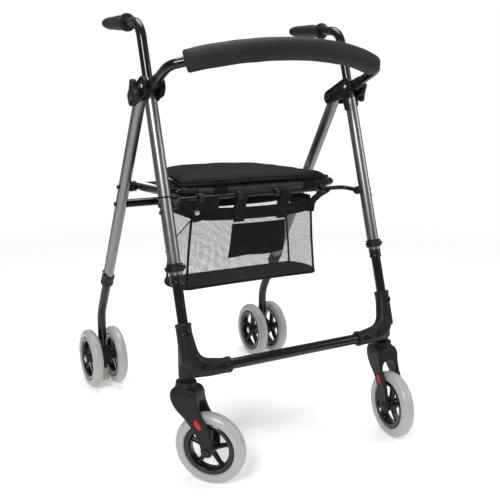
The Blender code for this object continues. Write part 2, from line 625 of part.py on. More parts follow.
for side in (-1, 1):
    name = tag(side)
    upper = sleeve("rear_upper_tube_" + name, OUTER_R, OUTER_BORE, -REAR_TUBE_TOP, -REAR_TUBE_END,
                   "silver", 20)
    on_rear(upper, side)
    cut(upper, pin("rear_pivot_hole_" + name, rear_point(0, side, -0.03), rear_point(0, side, 0.03),
                   PIVOT_BOLT_R + 2 * GAP, sides=10))
    for index in range(4):
        s = REAR_TUBE_END - 0.0270 - index * HOLE_PITCH
        cut(upper, pin("length_hole_%s_%d" % (name, index), rear_point(s, side, 0.006),
                       rear_point(s, side, 0.03), 0.0028, sides=8))
    carry(fold, [upper])

    top, bottom = REAR_TUBE_END - 0.012, REAR_TUBE_END + COLLAR_H - 0.012
    collar = turned("rear_collar_" + name,
                    [(COLLAR_R, -top), (COLLAR_R, 0.002 - bottom), (COLLAR_R - 0.002, -bottom),
                     (LOWER_REAR_R + GAP, -bottom), (LOWER_REAR_R + GAP, -REAR_TUBE_END - GAP),
                     (OUTER_R + GAP, -REAR_TUBE_END - GAP), (OUTER_R + GAP, -top)],
                    "plastic", 20, ring=True)
    on_rear(collar, side)
    carry(fold, [collar])

    slide = axis_point("Rear_Leg_Slide_" + name, rear_point(REAR_TUBE_END, side), (REAR_LEAN, 0, 0))
    path = rounded([rear_point(REAR_LOWER_TOP, side), (side * LEG_X, REAR_AXLE_Y, BEND_Z),
                    (side * LEG_X, REAR_AXLE_Y, FOOT_HIGH + GAP)], [0.060], 5)
    lower = tube("rear_lower_tube_" + name, path, LOWER_REAR_R, "black_tube", 4)
    foot = turned("brake_foot_" + name,
                  [(0, FOOT_HIGH), (FOOT_R - 0.0005, FOOT_HIGH), (FOOT_R, FOOT_HIGH - 0.003),
                   (FOOT_R + 0.0012, FOOT_LOW + 0.003), (FOOT_R, FOOT_LOW), (0, FOOT_LOW)], "cream", 16)
    foot.location = (side * LEG_X, REAR_AXLE_Y, 0.0)

    brake = axis_point("Brake_Slide_" + name, (side * LEG_X, REAR_AXLE_Y, REAR_WHEEL_R))
    block = box("wheel_carriage_" + name, (2 * BLOCK_X, 2 * BLOCK_Y, BLOCK_HIGH - BLOCK_LOW), "plastic")
    block.location = (side * LEG_X, REAR_AXLE_Y, (BLOCK_HIGH + BLOCK_LOW) / 2.0)
    axle_half = AXLE_REACH + AXLE_HEAD_T / 2.0
    join(block, pin("axle_" + name, (side * LEG_X - axle_half, REAR_AXLE_Y, REAR_WHEEL_R),
                    (side * LEG_X + axle_half, REAR_AXLE_Y, REAR_WHEEL_R), AXLE_R, sides=10))
    for end in (-1, 1):
        edge = side * LEG_X + end * AXLE_REACH
        join(block, pin("axle_head_%s_%d" % (name, end), (edge, REAR_AXLE_Y, REAR_WHEEL_R),
                        (edge + end * AXLE_HEAD_T, REAR_AXLE_Y, REAR_WHEEL_R), 0.0062, sides=10))
    cut(block, pin("carriage_bore_" + name, (side * LEG_X, REAR_AXLE_Y, 0.02),
                   (side * LEG_X, REAR_AXLE_Y, 0.15), LOWER_REAR_R + 0.0004, sides=16))
    for which, offset in (("outer", side * REAR_WHEEL_OFF), ("inner", -side * REAR_WHEEL_OFF)):
        location = (side * LEG_X + offset, REAR_AXLE_Y, REAR_WHEEL_R)
        turning = axis_point("Rear_Wheel_Axis_%s_%s" % (name, which), location)
        carry(turning, wheel("rear_%s_%s" % (name, which), rear_centre, rear_tyre, location))
        carry(brake, [turning])
    carry(brake, [block])
    carry(slide, [lower, foot, brake])
    carry(fold, [slide])

rear_cross = rear_point(REAR_CROSS_S)
half_cross = LEG_X - OUTER_R - GAP
cross_tube = sleeve("rear_cross_tube", BAR_R, BAR_R - TUBE_WALL, half_cross, -half_cross, "black_tube", 16)
cross_tube.rotation_euler = (0.0, math.pi / 2.0, 0.0)
cross_tube.location = (0.0, rear_cross.y, rear_cross.z)
carry(fold, [cross_tube])

# ---- seat -----------------------------------------------------------------------------------
seat_pivot = rear_point(SEAT_PIVOT_S)
seat_axis = axis_point("Seat_Axis", (0.0, seat_pivot.y, seat_pivot.z))
SEAT_FRONT_Y, SEAT_FRONT_Z = -0.104, 0.5543
rail_start = Vector((half_cross, seat_pivot.y, seat_pivot.z))
seat_half = rounded([rail_start, (0.2110, seat_pivot.y, seat_pivot.z), (0.2060, SEAT_FRONT_Y, SEAT_FRONT_Z),
                     (0.1200, SEAT_FRONT_Y, SEAT_FRONT_Z)], [0.012, 0.045], 5)
seat_frame = tube("seat_frame", seat_half + list(reversed(mirror_x(seat_half))), SEAT_TUBE_R,
                  "black_tube", 2)

CUSHION_LOW, CUSHION_T = 0.5626, 0.0210
outline_half = rounded([(0.0, -0.1230, 0), (0.1860, -0.1150, 0), (0.1600, 0.0400, 0),
                        (0.1250, 0.1800, 0), (0.0, 0.1850, 0)], [0.018, 0.300, 0.055], 5)
outline = outline_half + list(reversed(mirror_x(outline_half[1:-1])))
cushion = frozen(plate("seat_cushion", [[(p.x, p.y) for p in outline]], CUSHION_T, "fabric"))
cushion.location = (0.0, 0.0, CUSHION_LOW + CUSHION_T / 2.0)
edge = cushion.modifiers.new("Bevel", "BEVEL")
edge.width = 0.006
edge.segments = 2
edge.limit_method = "ANGLE"
edge.angle_limit = math.radians(50)
carry(seat_axis, [seat_frame, cushion])
carry(fold, [seat_axis])

# ---- handles --------------------------------------------------------------------------------
HANDLE_IN = 0.1480                       # length of the handle tube inside the leg, from the hub point
GRIP_START = Vector((0.0, 0.0155, 0.8969))
GRIP_END = Vector((0.0, 0.1435, 0.9040))
grip_along = (GRIP_END - GRIP_START).normalized()
grip_length = (GRIP_END - GRIP_START).length
GRIP_BORE_END = 0.1150


def handle_corner():
    """Where the line of the leg meets the line of the grip, in (y, z)."""
    up = Vector((math.sin(FRONT_LEAN), math.cos(FRONT_LEAN)))
    slope = grip_along.z / grip_along.y
    t = (GRIP_START.z - HUB_Z + slope * (HUB_Y - GRIP_START.y)) / (up.y - slope * up.x)
    return HUB_Y + up.x * t, HUB_Z + up.y * t


corner_y, corner_z = handle_corner()
for side in (-1, 1):
    name = tag(side)
    slide = axis_point("Handle_Slide_" + name, front_point(0, side), (-FRONT_LEAN, 0, 0))
    shift = Vector((side * LEG_X, 0, 0))
    tube_end = GRIP_START + grip_along * GRIP_BORE_END
    path = rounded([front_point(HANDLE_IN, side), Vector((side * LEG_X, corner_y, corner_z)), tube_end + shift],
                   [0.040], 6)
    bent = tube("handle_tube_" + name, path, HANDLE_R, "black_tube", 4)
    grip = turned("handle_grip_" + name,
                  [(0.0095, grip_length), (0.0140, grip_length - 0.002), (0.0150, grip_length - 0.010),
                   (0.0142, 0.080), (0.0150, 0.045), (0.0142, 0.010), (0.0185, 0.006), (0.0185, 0.001),
                   (0.0170, 0.0), (HANDLE_R + GAP, 0.0), (HANDLE_R + GAP, GRIP_BORE_END + GAP),
                   (0.0, GRIP_BORE_END + GAP)], "plastic", 16)
    grip.data.vertices.add(1)
    grip.data.vertices[-1].co = (0.0, 0.0, grip_length)
    grip.data.edges.add(1)
    grip.data.edges[-1].vertices = (len(grip.data.vertices) - 1, 0)
    grip.location = GRIP_START + shift
    grip.rotation_euler = (-math.atan2(grip_along.y, grip_along.z), 0.0, 0.0)
    carry(slide, [bent, grip])

    # clamp knob: a three-lobed head with a screw that reaches the handle tube
    knob_centre = front_point(KNOB_S, side)
    knob_axis = axis_point("Knob_Axis_" + name, knob_centre)
    lobes = []
    for index in range(24):
        angle = 2 * math.pi * index / 24
        radius = 0.0185 + 0.0060 * math.cos(3 * angle)
        lobes.append((radius * math.cos(angle + math.pi / 2), radius * math.sin(angle + math.pi / 2)))
    KNOB_T = 0.0125
    inner_face = half_hub + 0.0060
    head = frozen(plate("handle_knob_" + name, [lobes], KNOB_T, "plastic"))
    reach = side * (LEG_X + inner_face + KNOB_T / 2.0)
    head.location = (reach, knob_centre.y, knob_centre.z)
    head.rotation_euler = (math.pi / 2.0, 0.0, math.pi / 2.0)
    join(head, pin("knob_boss_" + name, (side * (LEG_X + half_hub + GAP), knob_centre.y, knob_centre.z),
                   (reach, knob_centre.y, knob_centre.z), 0.0110, sides=12))
    join(head, pin("knob_screw_" + name, (side * (LEG_X + HANDLE_R + GAP), knob_centre.y, knob_centre.z),
                   (reach, knob_centre.y, knob_centre.z), KNOB_SCREW_R, sides=8))
    carry(knob_axis, [head])

bpy.context.view_layer.update()
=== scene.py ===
"""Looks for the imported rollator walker: frame, wheels, padded seat, foam backrest and mesh bag.

Metres, +Z up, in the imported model's frame. The casters face -Y and the person walking stands at +Y,
so "right" in a name is that person's right side, at -X.
"""
import json
from math import acos, asin, atan2, copysign, cos, exp, pi, radians, sin

import bmesh
import bpy
from mathutils import Matrix, Vector, noise


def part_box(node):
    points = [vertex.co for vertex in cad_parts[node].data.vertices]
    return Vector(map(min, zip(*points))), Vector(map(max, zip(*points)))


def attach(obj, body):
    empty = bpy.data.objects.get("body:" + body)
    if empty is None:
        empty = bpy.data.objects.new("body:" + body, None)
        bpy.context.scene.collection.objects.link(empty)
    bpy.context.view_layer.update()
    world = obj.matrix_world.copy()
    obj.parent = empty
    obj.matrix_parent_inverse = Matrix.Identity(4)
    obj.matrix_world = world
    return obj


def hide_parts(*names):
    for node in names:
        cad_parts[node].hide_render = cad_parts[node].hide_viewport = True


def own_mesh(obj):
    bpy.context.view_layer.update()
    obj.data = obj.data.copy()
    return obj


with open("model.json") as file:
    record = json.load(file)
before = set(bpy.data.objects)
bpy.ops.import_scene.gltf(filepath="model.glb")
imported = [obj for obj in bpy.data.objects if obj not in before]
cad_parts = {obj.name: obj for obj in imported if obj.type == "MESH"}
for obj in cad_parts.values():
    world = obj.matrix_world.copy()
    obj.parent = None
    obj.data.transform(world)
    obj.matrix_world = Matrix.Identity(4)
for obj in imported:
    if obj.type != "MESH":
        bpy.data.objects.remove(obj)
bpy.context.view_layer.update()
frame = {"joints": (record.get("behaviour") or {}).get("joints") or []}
JOINTS = {joint["name"]: joint for joint in frame["joints"]}
SIDES = {"right": -1, "left": 1}
SCENE = bpy.context.scene
noise.seed_set(1)      # noise_vector draws from the clock until it is given a seed


def joint_point(name):
    return Vector(JOINTS[name]["pos_m"])


def middle_of(node):
    low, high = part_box(node)
    return (low + high) / 2


def mirrored(points):
    """The same points on the other side of the walker, in reverse order."""
    return [Vector((-p.x, p.y, p.z)) for p in reversed(points)]


def arc(x, y, z, radius, first, step, count):
    """Points round (y, z) in the plane at x, at angles in degrees that run from +Y towards +Z."""
    angles = (radians(first + step * i) for i in range(count))
    return [Vector((x, y + radius * cos(a), z + radius * sin(a))) for a in angles]


# ---- camera: the whole walker, seen from in front of its right side 
AZIMUTH, ELEVATION = radians(-28.68), radians(12.54)
LOOK_AT, DISTANCE, LENS, SENSOR = Vector((-0.1577, -0.357, 0.48)), 1.3, 52.03, 36.0

back = Vector((sin(AZIMUTH) * cos(ELEVATION), -cos(AZIMUTH) * cos(ELEVATION), sin(ELEVATION)))
camera = bpy.data.objects.new("Camera", bpy.data.cameras.new("Camera"))
camera.data.lens = LENS
camera.data.sensor_width = SENSOR
camera.location = LOOK_AT + back * DISTANCE
camera.rotation_euler = (-back).to_track_quat("-Z", "Y").to_euler()
SCENE.collection.objects.link(camera)
SCENE.camera = camera

# ---- dimensions shared by several pieces -----------------
LEG_X = joint_point("caster_swivel_left").x
KNOB_AT = joint_point("knob_turn_left")            # on the front leg's axis
PIVOT_AT = joint_point("frame_fold")               # on the rear leg's axis
FRONT_UP = Vector(JOINTS["front_leg_length"]["axis"])
REAR_UP = Vector(JOINTS["rear_leg_length_left"]["axis"])
TUBE_R = 0.0127
GAP = 0.0003
CROSS_TUBE = middle_of("rear_cross_tube")


def front_leg(side, z, out=0.0):
    """The point of the front leg's axis at height z, moved outwards by out."""
    point = KNOB_AT + FRONT_UP * ((z - KNOB_AT.z) / FRONT_UP.z)
    return Vector((side * (LEG_X + out), point.y, point.z))


def rear_leg(side, z, out=0.0):
    point = PIVOT_AT + REAR_UP * ((z - PIVOT_AT.z) / REAR_UP.z)
    return Vector((side * (LEG_X + out), point.y, point.z))


# ---- materials -------------------------------------------
class Look:
    """A node material under construction: its tree, its shader and short ways to add nodes."""

    def __init__(self, name, slot, colour, roughness, **sockets):
        self.slot = slot
        self.material = bpy.data.materials.new(name)
        self.material.use_nodes = True
        self.tree = self.material.node_tree
        self.shader = self.tree.nodes["Principled BSDF"]
        self.shader.inputs["Base Color"].default_value = (*colour, 1.0)
        self.shader.inputs["Roughness"].default_value = roughness
        for socket, value in sockets.items():
            socket = socket.replace("_", " ").title().replace("Ior", "IOR")
            self.shader.inputs[socket].default_value = value

    def node(self, kind, links=(), **settings):
        new = self.tree.nodes.new(kind)
        for key, value in settings.items():
            setattr(new, key, value)
        for socket, value in dict(links).items():
            if isinstance(value, bpy.types.NodeSocket):
                self.tree.links.new(value, new.inputs[socket])
            else:
                new.inputs[socket].default_value = value
        return new

    def place(self, scale, surface=False):
        """Object position, or the surface map in metres, times a scale per axis."""
        if surface:
            source = self.node("ShaderNodeUVMap", uv_map="Surface").outputs["UV"]
        else:
            source = self.node("ShaderNodeTexCoord").outputs["Object"]
        return self.node("ShaderNodeMapping", {"Vector": source, "Scale": scale}).outputs["Vector"]

    def noise(self, scale, detail=3.0, surface=False):
        at = self.place(scale if hasattr(scale, "__len__") else (scale,) * 3, surface)
        return self.node("ShaderNodeTexNoise", {"Vector": at, "Scale": 1.0, "Detail": detail,
            "Roughness": 0.55}).outputs["Fac"]

    def ramp(self, fac, low, high, start=0.35, end=0.65):
        """Maps fac from start..end to low..high."""
        return self.node("ShaderNodeMapRange", {"Value": fac, "From Min": start, "From Max": end,
            "To Min": low, "To Max": high}).outputs["Result"]

    def maths(self, operation, a, b=0.0):
        return self.node("ShaderNodeMath", {0: a, 1: b}, operation=operation).outputs[0]

    def tint(self, fac, dark, light):
        """Colours the surface between dark and light by fac."""
        mix = self.node("ShaderNodeMix", {0: fac, 6: (*dark, 1.0), 7: (*light, 1.0)}, data_type="RGBA")
        self.tree.links.new(mix.outputs[2], self.shader.inputs["Base Color"])
        return self

    def rough(self, fac, low, high):
        self.tree.links.new(self.ramp(fac, low, high), self.shader.inputs["Roughness"])
        return self

    def bump(self, height, distance, strength=1.0):
        bump = self.node("ShaderNodeBump", {"Height": height, "Distance": distance, "Strength": strength})
        self.tree.links.new(bump.outputs["Normal"], self.shader.inputs["Normal"])
        return self


def shade(colour, factor):
    return tuple(c * factor for c in colour)


def metal(name, slot, colour, roughness, streak):
    """Drawn or plated metal: fine streaks along the piece and cloudy changes in gloss."""
    look = Look(name, slot, colour, roughness, metallic=0.92)
    lines = look.noise(streak, 4.0, surface=True)
    look.tint(look.ramp(lines, 0.0, 1.0), shade(colour, 0.92), shade(colour, 1.06))
    look.rough(look.noise(60.0), roughness * 0.9, roughness * 1.12)
    return look.bump(lines, 0.000002, 0.03)


def paint(name, slot, colour, roughness):
    """Gloss paint on tube: clear coat, slight orange peel, small rubbed patches."""
    look = Look(name, slot, colour, roughness, coat_weight=0.12, coat_roughness=0.05,
        specular_ior_level=0.32)
    look.tint(look.ramp(look.noise(35.0), 0.0, 1.0, 0.55, 0.8), colour, shade(colour, 2.0))
    look.rough(look.noise((90.0, 90.0, 40.0), 4.0), roughness * 0.9, roughness * 1.12)
    return look.bump(look.noise(40.0, 2.0), 0.00002, 0.04)


def moulded_look(name, slot, colour, roughness, grain, depth, gleam=0.22, worn=1.35):
    """Moulded plastic or rubber: a spark-eroded grain, and paler where it has been handled."""
    look = Look(name, slot, colour, roughness)
    fine = look.noise(grain, 5.0)
    look.shader.inputs["Specular IOR Level"].default_value = gleam
    look.tint(look.ramp(look.noise(45.0), 0.0, 1.0, 0.4, 0.75), colour, shade(colour, worn))
    look.rough(fine, roughness * 0.85, min(1.0, roughness * 1.15))
    return look.bump(fine, depth)


def woven(name, slot, colour, pitch, surface=False, depth=0.0004, lift=3.6):
    """A plain weave: warp and weft ribs crossing at the pitch, with fluffy variation; its colour holds
    painted shade in the hollows between threads and painted light on their crowns, up to lift times the
    colour.
    """
    look = Look(name, slot, colour, 0.9, sheen_weight=0.03, specular_ior_level=0.12)
    at = look.place((pi / pitch,) * 3, surface)
    parts = look.node("ShaderNodeSeparateXYZ", {"Vector": at})
    warp = look.maths("ABSOLUTE", look.maths("SINE", parts.outputs[0]))
    weft = look.maths("ABSOLUTE", look.maths("SINE", parts.outputs[1]))
    weave = look.maths("MULTIPLY", warp, weft)
    cloud = look.noise(38.0, 4.0, surface)
    # painted shade and light: darkest in the weave's hollows, lightest on its crowns, by the same height as
    # the bump; the cloud is the cloth's own uneven tone
    look.tint(look.maths("MULTIPLY", weave, look.ramp(cloud, 0.5, 1.3)), shade(colour, 0.55),
        shade(colour, lift))
    return look.bump(look.maths("ADD", weave, look.maths("MULTIPLY", look.noise(900.0), 0.35)), depth)


def netting(name, slot, colour, pitch, thread):
    """Open net: threads round diamond holes, clear between them."""
    look = Look(name, slot, colour, 0.75, specular_ior_level=0.15)
    at = look.place((pi / pitch, pi / pitch, 0.0), surface=True)
    # the threads wander a little from their places
    wander = look.node("ShaderNodeTexNoise", {"Vector": look.place((240.0,) * 3, True),
        "Scale": 1.0}).outputs["Color"]
    at = look.node("ShaderNodeVectorMath", {0: wander, 1: (1.6, 1.6, 0.0), 2: at},
        operation="MULTIPLY_ADD").outputs[0]
    parts = look.node("ShaderNodeSeparateXYZ", {"Vector": at})
    total = look.maths("ADD", parts.outputs[0], parts.outputs[1])
    difference = look.maths("SUBTRACT", parts.outputs[0], parts.outputs[1])
    web = look.maths("MULTIPLY", look.maths("ABSOLUTE", look.maths("SINE", total)),
        look.maths("ABSOLUTE", look.maths("SINE", difference)))
    width = look.ramp(look.noise(620.0, 2.0, surface=True), thread * 0.7, thread * 1.35)
    alpha = look.maths("LESS_THAN", web, width)
    look.tree.links.new(alpha, look.shader.inputs["Alpha"])
    look.tint(look.noise(500.0, 2.0, surface=True), shade(colour, 0.5), shade(colour, 2.0))
    return look.bump(web, 0.0002)


SILVER = metal("satin_aluminium", "silver_tube", (0.215, 0.215, 0.219), 0.31, (60.0, 2.0, 1.0))
ZINC = metal("zinc_plate", "bolt", (0.62, 0.62, 0.6), 0.28, (500.0, 500.0, 1.0))
BLACK_PAINT = paint("black_paint", "black_tube", (0.0045, 0.0045, 0.005), 0.17)
PLASTIC = moulded_look("textured_plastic", "black_plastic", (0.008, 0.0085, 0.008), 0.46, 1100.0, 0.00018)
GRIP = moulded_look("soft_grip", "black_plastic", (0.008, 0.008, 0.008), 0.38, 1500.0, 0.0001, 0.35)
GLOSS = moulded_look("gloss_plastic", "gloss_plastic", (0.0055, 0.0055, 0.006), 0.2, 500.0, 0.00003, 0.4)
TYRE = moulded_look("grey_tyre", "grey_tyre", (0.36, 0.36, 0.375), 0.3, 260.0, 0.00005, 0.5, 1.07)
FOAM = moulded_look("foam_skin", "foam", (0.0065, 0.0075, 0.0063), 0.62, 2100.0, 0.0004, 0.32)
CREAM = moulded_look("cream_rubber", "cream_rubber", (0.6, 0.58, 0.46), 0.55, 700.0, 0.0001, 0.4, 1.08)
RED = moulded_look("red_inset", "gloss_plastic", (0.46, 0.012, 0.014), 0.3, 300.0, 0.00004)
GREY_PLASTIC = moulded_look("tube_sleeve", "black_plastic", (0.03, 0.03, 0.031), 0.45, 600.0, 0.00008)
# the woven cloths carry painted shade in the weave's hollows and painted light on its crowns; lift sets how
# light the crowns are
SEAT_CLOTH = woven("seat_cloth", "seat_fabric", (0.0022, 0.0022, 0.0024), 0.0038, lift=9.0)
WEBBING = woven("webbing", "seat_fabric", (0.0055, 0.0055, 0.006), 0.0022, surface=True, depth=0.0005)
BAG_CLOTH = woven("bag_cloth", "bag_mesh", (0.004, 0.004, 0.0043), 0.0011, surface=True, depth=0.0002)
NET = netting("bag_net", "bag_mesh", (0.05, 0.05, 0.052), 0.0028, 0.19)


# ---- outlines --------------------------------------------
def rounded(corners, radius, steps=4, closed=False):
    """A path through corners, in 2-D or 3-D, each corner rounded from radius before it to radius after."""
    corners = [Vector(c) for c in corners]
    count = len(corners)
    radii = radius if hasattr(radius, "__len__") else [radius] * count
    path = []
    for i, here in enumerate(corners):
        if not closed and i in (0, count - 1):
            path.append(here)
            continue
        before, after = corners[i - 1] - here, corners[(i + 1) % count] - here
        start = here + before.normalized() * min(radii[i], before.length * 0.49)
        end = here + after.normalized() * min(radii[i], after.length * 0.49)
        for step in range(steps + 1):
            t = step / steps
            path.append(start.lerp(here, t).lerp(here.lerp(end, t), t))
    return path


def ring(radius, steps=28, flat=1.0):
    """A circle, or an oval that is flat times as high as it is wide."""
    return [Vector((radius * cos(2 * pi * i / steps), flat * radius * sin(2 * pi * i / steps)))
        for i in range(steps)]


def strip(width, thick):
    """Cross-section of webbing: a thin rectangle with soft corners."""
    w, t = width / 2, thick / 2
    return rounded([(-w, -t), (w, -t), (w, t), (-w, t)], t * 0.8, 2, closed=True)


def along_x(axis_point, direction=Vector((1, 0, 0))):
    """Places a shape made about Z so that its Z lies along a direction from a point."""
    return Matrix.Translation(axis_point) @ Vector(direction).to_track_quat("Z", "Y").to_matrix().to_4x4()


# ---- mesh builders ---------------------------------------
def mesh_of(name, rows, wrap=True, caps=True, lengths=None, around=None):
    """A skin over rows of points; wrap closes each row, caps close both ends. Its map is in metres."""
    mesh = bpy.data.meshes.new(name)
    shape = bmesh.new()
    rings = [[shape.verts.new(p) for p in row] for row in rows]
    surface = shape.loops.layers.uv.new("Surface")
    count = len(rows[0])
    lengths = lengths or list(range(len(rows)))
    around = around or list(range(count + 1))
    for i in range(len(rows) - 1):
        for j in range(count if wrap else count - 1):
            k = (j + 1) % count
            face = shape.faces.new((rings[i][j], rings[i][k], rings[i + 1][k], rings[i + 1][j]))
            for loop, uv in zip(face.loops, ((around[j], lengths[i]), (around[j + 1], lengths[i]),
                    (around[j + 1], lengths[i + 1]), (around[j], lengths[i + 1]))):
                loop[surface].uv = uv
    if caps:
        for row in (rings[0], rings[-1]):
            face = shape.faces.new(row)
            for loop in face.loops:
                loop[surface].uv = (loop.vert.co.x, loop.vert.co.y)
    bmesh.ops.recalc_face_normals(shape, faces=shape.faces)
    shape.to_mesh(mesh)
    shape.free()
    return mesh


def running(points):
    """Distance along a path, at each of its points."""
    total, out = 0.0, [0.0]
    for a, b in zip(points, points[1:]):
        total += (Vector(b) - Vector(a)).length
        out.append(total)
    return out


def sweep(name, path, section, scales=None, up=(0.0, 0.0, 1.0), closed=False):
    """A section carried along a path. up is where its Y starts; scales has a factor or pair per point."""
    path = [Vector(p) for p in path]
    last = len(path) - 1
    rows, side = [], None
    for i, point in enumerate(path):
        ahead = path[(i + 1) % (last + 1)] if closed else path[min(i + 1, last)]
        behind = path[i - 1] if closed or i else path[0]
        tangent = (ahead - behind).normalized()
        if side is None:
            side = Vector(up).cross(tangent)
            side = side if side.length > 0.01 else Vector((1, 0, 0)).cross(tangent)
        side = (side - tangent * side.dot(tangent)).normalized()
        rise = tangent.cross(side)
        factor = scales[i] if scales else 1.0
        sx, sy = factor if hasattr(factor, "__len__") else (factor, factor)
        rows.append([point + side * (p[0] * sx) + rise * (p[1] * sy) for p in section])
    if closed:
        rows.append(rows[0])
        path = path + [path[0]]
    mesh = mesh_of(name, rows, caps=not closed, lengths=running(path),
        around=running(list(section) + [section[0]]))
    if closed:
        weld(mesh)
    return mesh


def weld(mesh, distance=0.00002):
    shape = bmesh.new()
    shape.from_mesh(mesh)
    bmesh.ops.remove_doubles(shape, verts=shape.verts, dist=distance)
    bmesh.ops.recalc_face_normals(shape, faces=shape.faces)
    shape.to_mesh(mesh)
    shape.free()
    return mesh


def tube(name, path, radius, scales=None, steps=28):
    return sweep(name, path, ring(radius, steps), scales)


def lathe(name, profile, placed=None, steps=48, soft=0.0):
    """A profile of (radius, height) turned about Z, closed unless it starts and ends on Z."""
    solid = profile[0][0] == 0 and profile[-1][0] == 0
    if soft:
        profile = rounded(profile, soft, 3, closed=not solid)
    rows = []
    for step in range(steps + 1):
        turn = 2 * pi * step / steps
        rows.append([Vector((p[0] * cos(turn), p[0] * sin(turn), p[1])) for p in profile])
    widest = max(p[0] for p in profile)
    mesh = mesh_of(name, rows, wrap=not solid, caps=False, around=running(list(profile) + [profile[0]]),
        lengths=[2 * pi * widest * step / steps for step in range(steps + 1)])
    weld(mesh)
    if placed:
        mesh.transform(placed)
    return mesh


def plate(name, outline, thickness, placed, holes=(), edge=0.001):
    """A flat outline with rounded edges and holes, in its own XY plane."""
    curve = bpy.data.curves.new(name, "CURVE")
    curve.dimensions = "2D"
    curve.fill_mode = "BOTH"
    curve.extrude = thickness / 2 - edge
    curve.bevel_depth, curve.bevel_resolution, curve.offset = edge, 2, -edge
    for loop in [outline, *holes]:
        spline = curve.splines.new("POLY")
        spline.points.add(len(loop) - 1)
        for i, p in enumerate(loop):
            spline.points[i].co = (p[0], p[1], 0.0, 1.0)
        spline.use_cyclic_u = True
    mesh = weld(evaluated(bpy.data.objects.new(name, curve)))
    mesh.transform(placed)
    return mesh


def evaluated(obj):
    """The mesh of an object with its modifiers applied; the object itself is removed."""
    SCENE.collection.objects.link(obj)
    bpy.context.view_layer.update()
    mesh = bpy.data.meshes.new_from_object(obj.evaluated_get(bpy.context.evaluated_depsgraph_get()))
    bpy.data.objects.remove(obj, do_unlink=True)
    return mesh


def merged(name, meshes):
    """Several meshes in one, their maps kept."""
    shape = bmesh.new()
    for mesh in meshes:
        shape.from_mesh(mesh)
    mesh = bpy.data.meshes.new(name)
    shape.to_mesh(mesh)
    shape.free()
    return mesh


def fused(name, meshes, voxel, smoothing):
    """Solids melted into one moulding: a voxel skin over them, its joints softened into fillets."""
    obj = bpy.data.objects.new(name, merged(name, meshes))
    remesh = obj.modifiers.new("Remesh", "REMESH")
    remesh.mode = "VOXEL"
    remesh.voxel_size = voxel
    relax = obj.modifiers.new("Relax", "SMOOTH")
    relax.factor, relax.iterations = 0.5, smoothing
    return evaluated(obj)


def carved(name, mesh, tools, operation="DIFFERENCE"):
    """The mesh with each tool's volume cut away, or kept."""
    obj = bpy.data.objects.new(name, mesh)
    cutters = []
    for index, tool in enumerate(tools):
        cutter = bpy.data.objects.new("%s_tool_%d" % (name, index), tool)
        SCENE.collection.objects.link(cutter)
        mod = obj.modifiers.new("Cut", "BOOLEAN")
        mod.operation, mod.object = operation, cutter
        cutters.append(cutter)
    result = evaluated(obj)
    for cutter in cutters:
        bpy.data.objects.remove(cutter, do_unlink=True)
    return result


def piece(name, mesh, look, body, stands_for=(), sharp=38.0, rides=True):
    """A finished shape: its look, its body and the CAD nodes it stands for."""
    obj = bpy.data.objects.new(name, mesh)
    SCENE.collection.objects.link(obj)
    mesh.materials.clear()
    mesh.materials.append(look.material)
    mesh.shade_smooth()
    mesh.set_sharp_from_angle(angle=radians(sharp))
    if rides:
        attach(obj, body)
    if stands_for:
        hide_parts(*stands_for)
    return obj


def bolt_head(radius, height, socket=0.45):
    """Profile of a domed head with a hex-key socket, from its seat up; open at neither end."""
    return [(0, -height * 0.5), (radius, -height * 0.5), (radius, height * 0.35),
        (radius * 0.85, height * 0.8), (radius * (socket + 0.12), height), (radius * socket, height * 0.95),
        (radius * socket, height * 0.3), (0, height * 0.25)]


def bolt(name, at, direction, radius, height, look, body, stands_for=()):
    mesh = lathe(name, bolt_head(radius, height), along_x(at, direction), 24)
    return piece(name, mesh, look, body, stands_for)


# ---- legs ------------------------------------------------
FORWARD_OF_LEG = Vector((0.0, -FRONT_UP.z, FRONT_UP.y))
FRONT_INNER_R, REAR_INNER_R = 0.0103, 0.0109
LOCK_RING_Z, BUSHING_Z, ROD_END_Z = 0.4237, 0.4016, 0.5408
COLLAR_Z, COLLAR_R, TONGUE = 0.301, 0.0153, 0.013
LOWEST_HOLE, HOLE_STEP, HOLES = 0.32, 0.0216, 5          # adjusting holes in the rear legs


def sleeve(radius, bore, half, lip=0.0, lip_half=0.0):
    """Ring profile about Z from -half to half, with a lip at each end if asked."""
    outer = [(radius, half), (radius, -half)]
    if lip:
        edge = half - lip_half
        outer = [(radius + lip, half), (radius + lip, edge), (radius, edge - 0.001), (radius, 0.001 - edge),
            (radius + lip, -edge), (radius + lip, -half)]
    return outer + [(bore, -half), (bore, half)]


def front_legs(name, side):
    upper_top, upper_end, lower_end = 0.7809, 0.41, 0.265
    piece("front_leg_tube_" + name, tube("leg", [front_leg(side, upper_top), front_leg(side, upper_end)],
        TUBE_R, steps=40), SILVER, "front_frame", ["front_upper_tube_" + name])
    piece("front_leg_inner_" + name, tube("leg", [front_leg(side, 0.5084), front_leg(side, lower_end)],
        FRONT_INNER_R, steps=32), BLACK_PAINT, "front_lower", ["front_lower_tube_" + name])

    at = along_x(front_leg(side, LOCK_RING_Z), FRONT_UP)
    clamp = lathe("clamp", sleeve(0.0152, TUBE_R, 0.008, 0.0016, 0.0026), at, soft=0.0006)
    ears = [lathe("ear", [(0, 0.006), (0.0046, 0.006), (0.0046, -0.006), (0, -0.006)],
        along_x(front_leg(side, LOCK_RING_Z) + Vector((dx, -0.002, 0)), (1, 0.4, 0)), 20, 0.001)
        for dx in (-0.015, 0.015)]
    piece("lock_clamp_" + name, merged("clamp", [clamp] + ears), PLASTIC, "front_frame",
        ["lock_ring_" + name])
    bushing = lathe("bushing", sleeve(0.0126, FRONT_INNER_R, 0.0085, 0.0006, 0.003),
        along_x(front_leg(side, BUSHING_Z), FRONT_UP), soft=0.0005)
    piece("leg_bushing_" + name, bushing, GLOSS, "front_frame", ["end_bushing_" + name])
    for index, z in enumerate((0.541, 0.528)):
        at = front_leg(side, z, TUBE_R)
        bolt("rod_bolt_%s_%d" % (name, index), at, (side, 0, 0), 0.0042, 0.003, GLOSS, "front_frame")


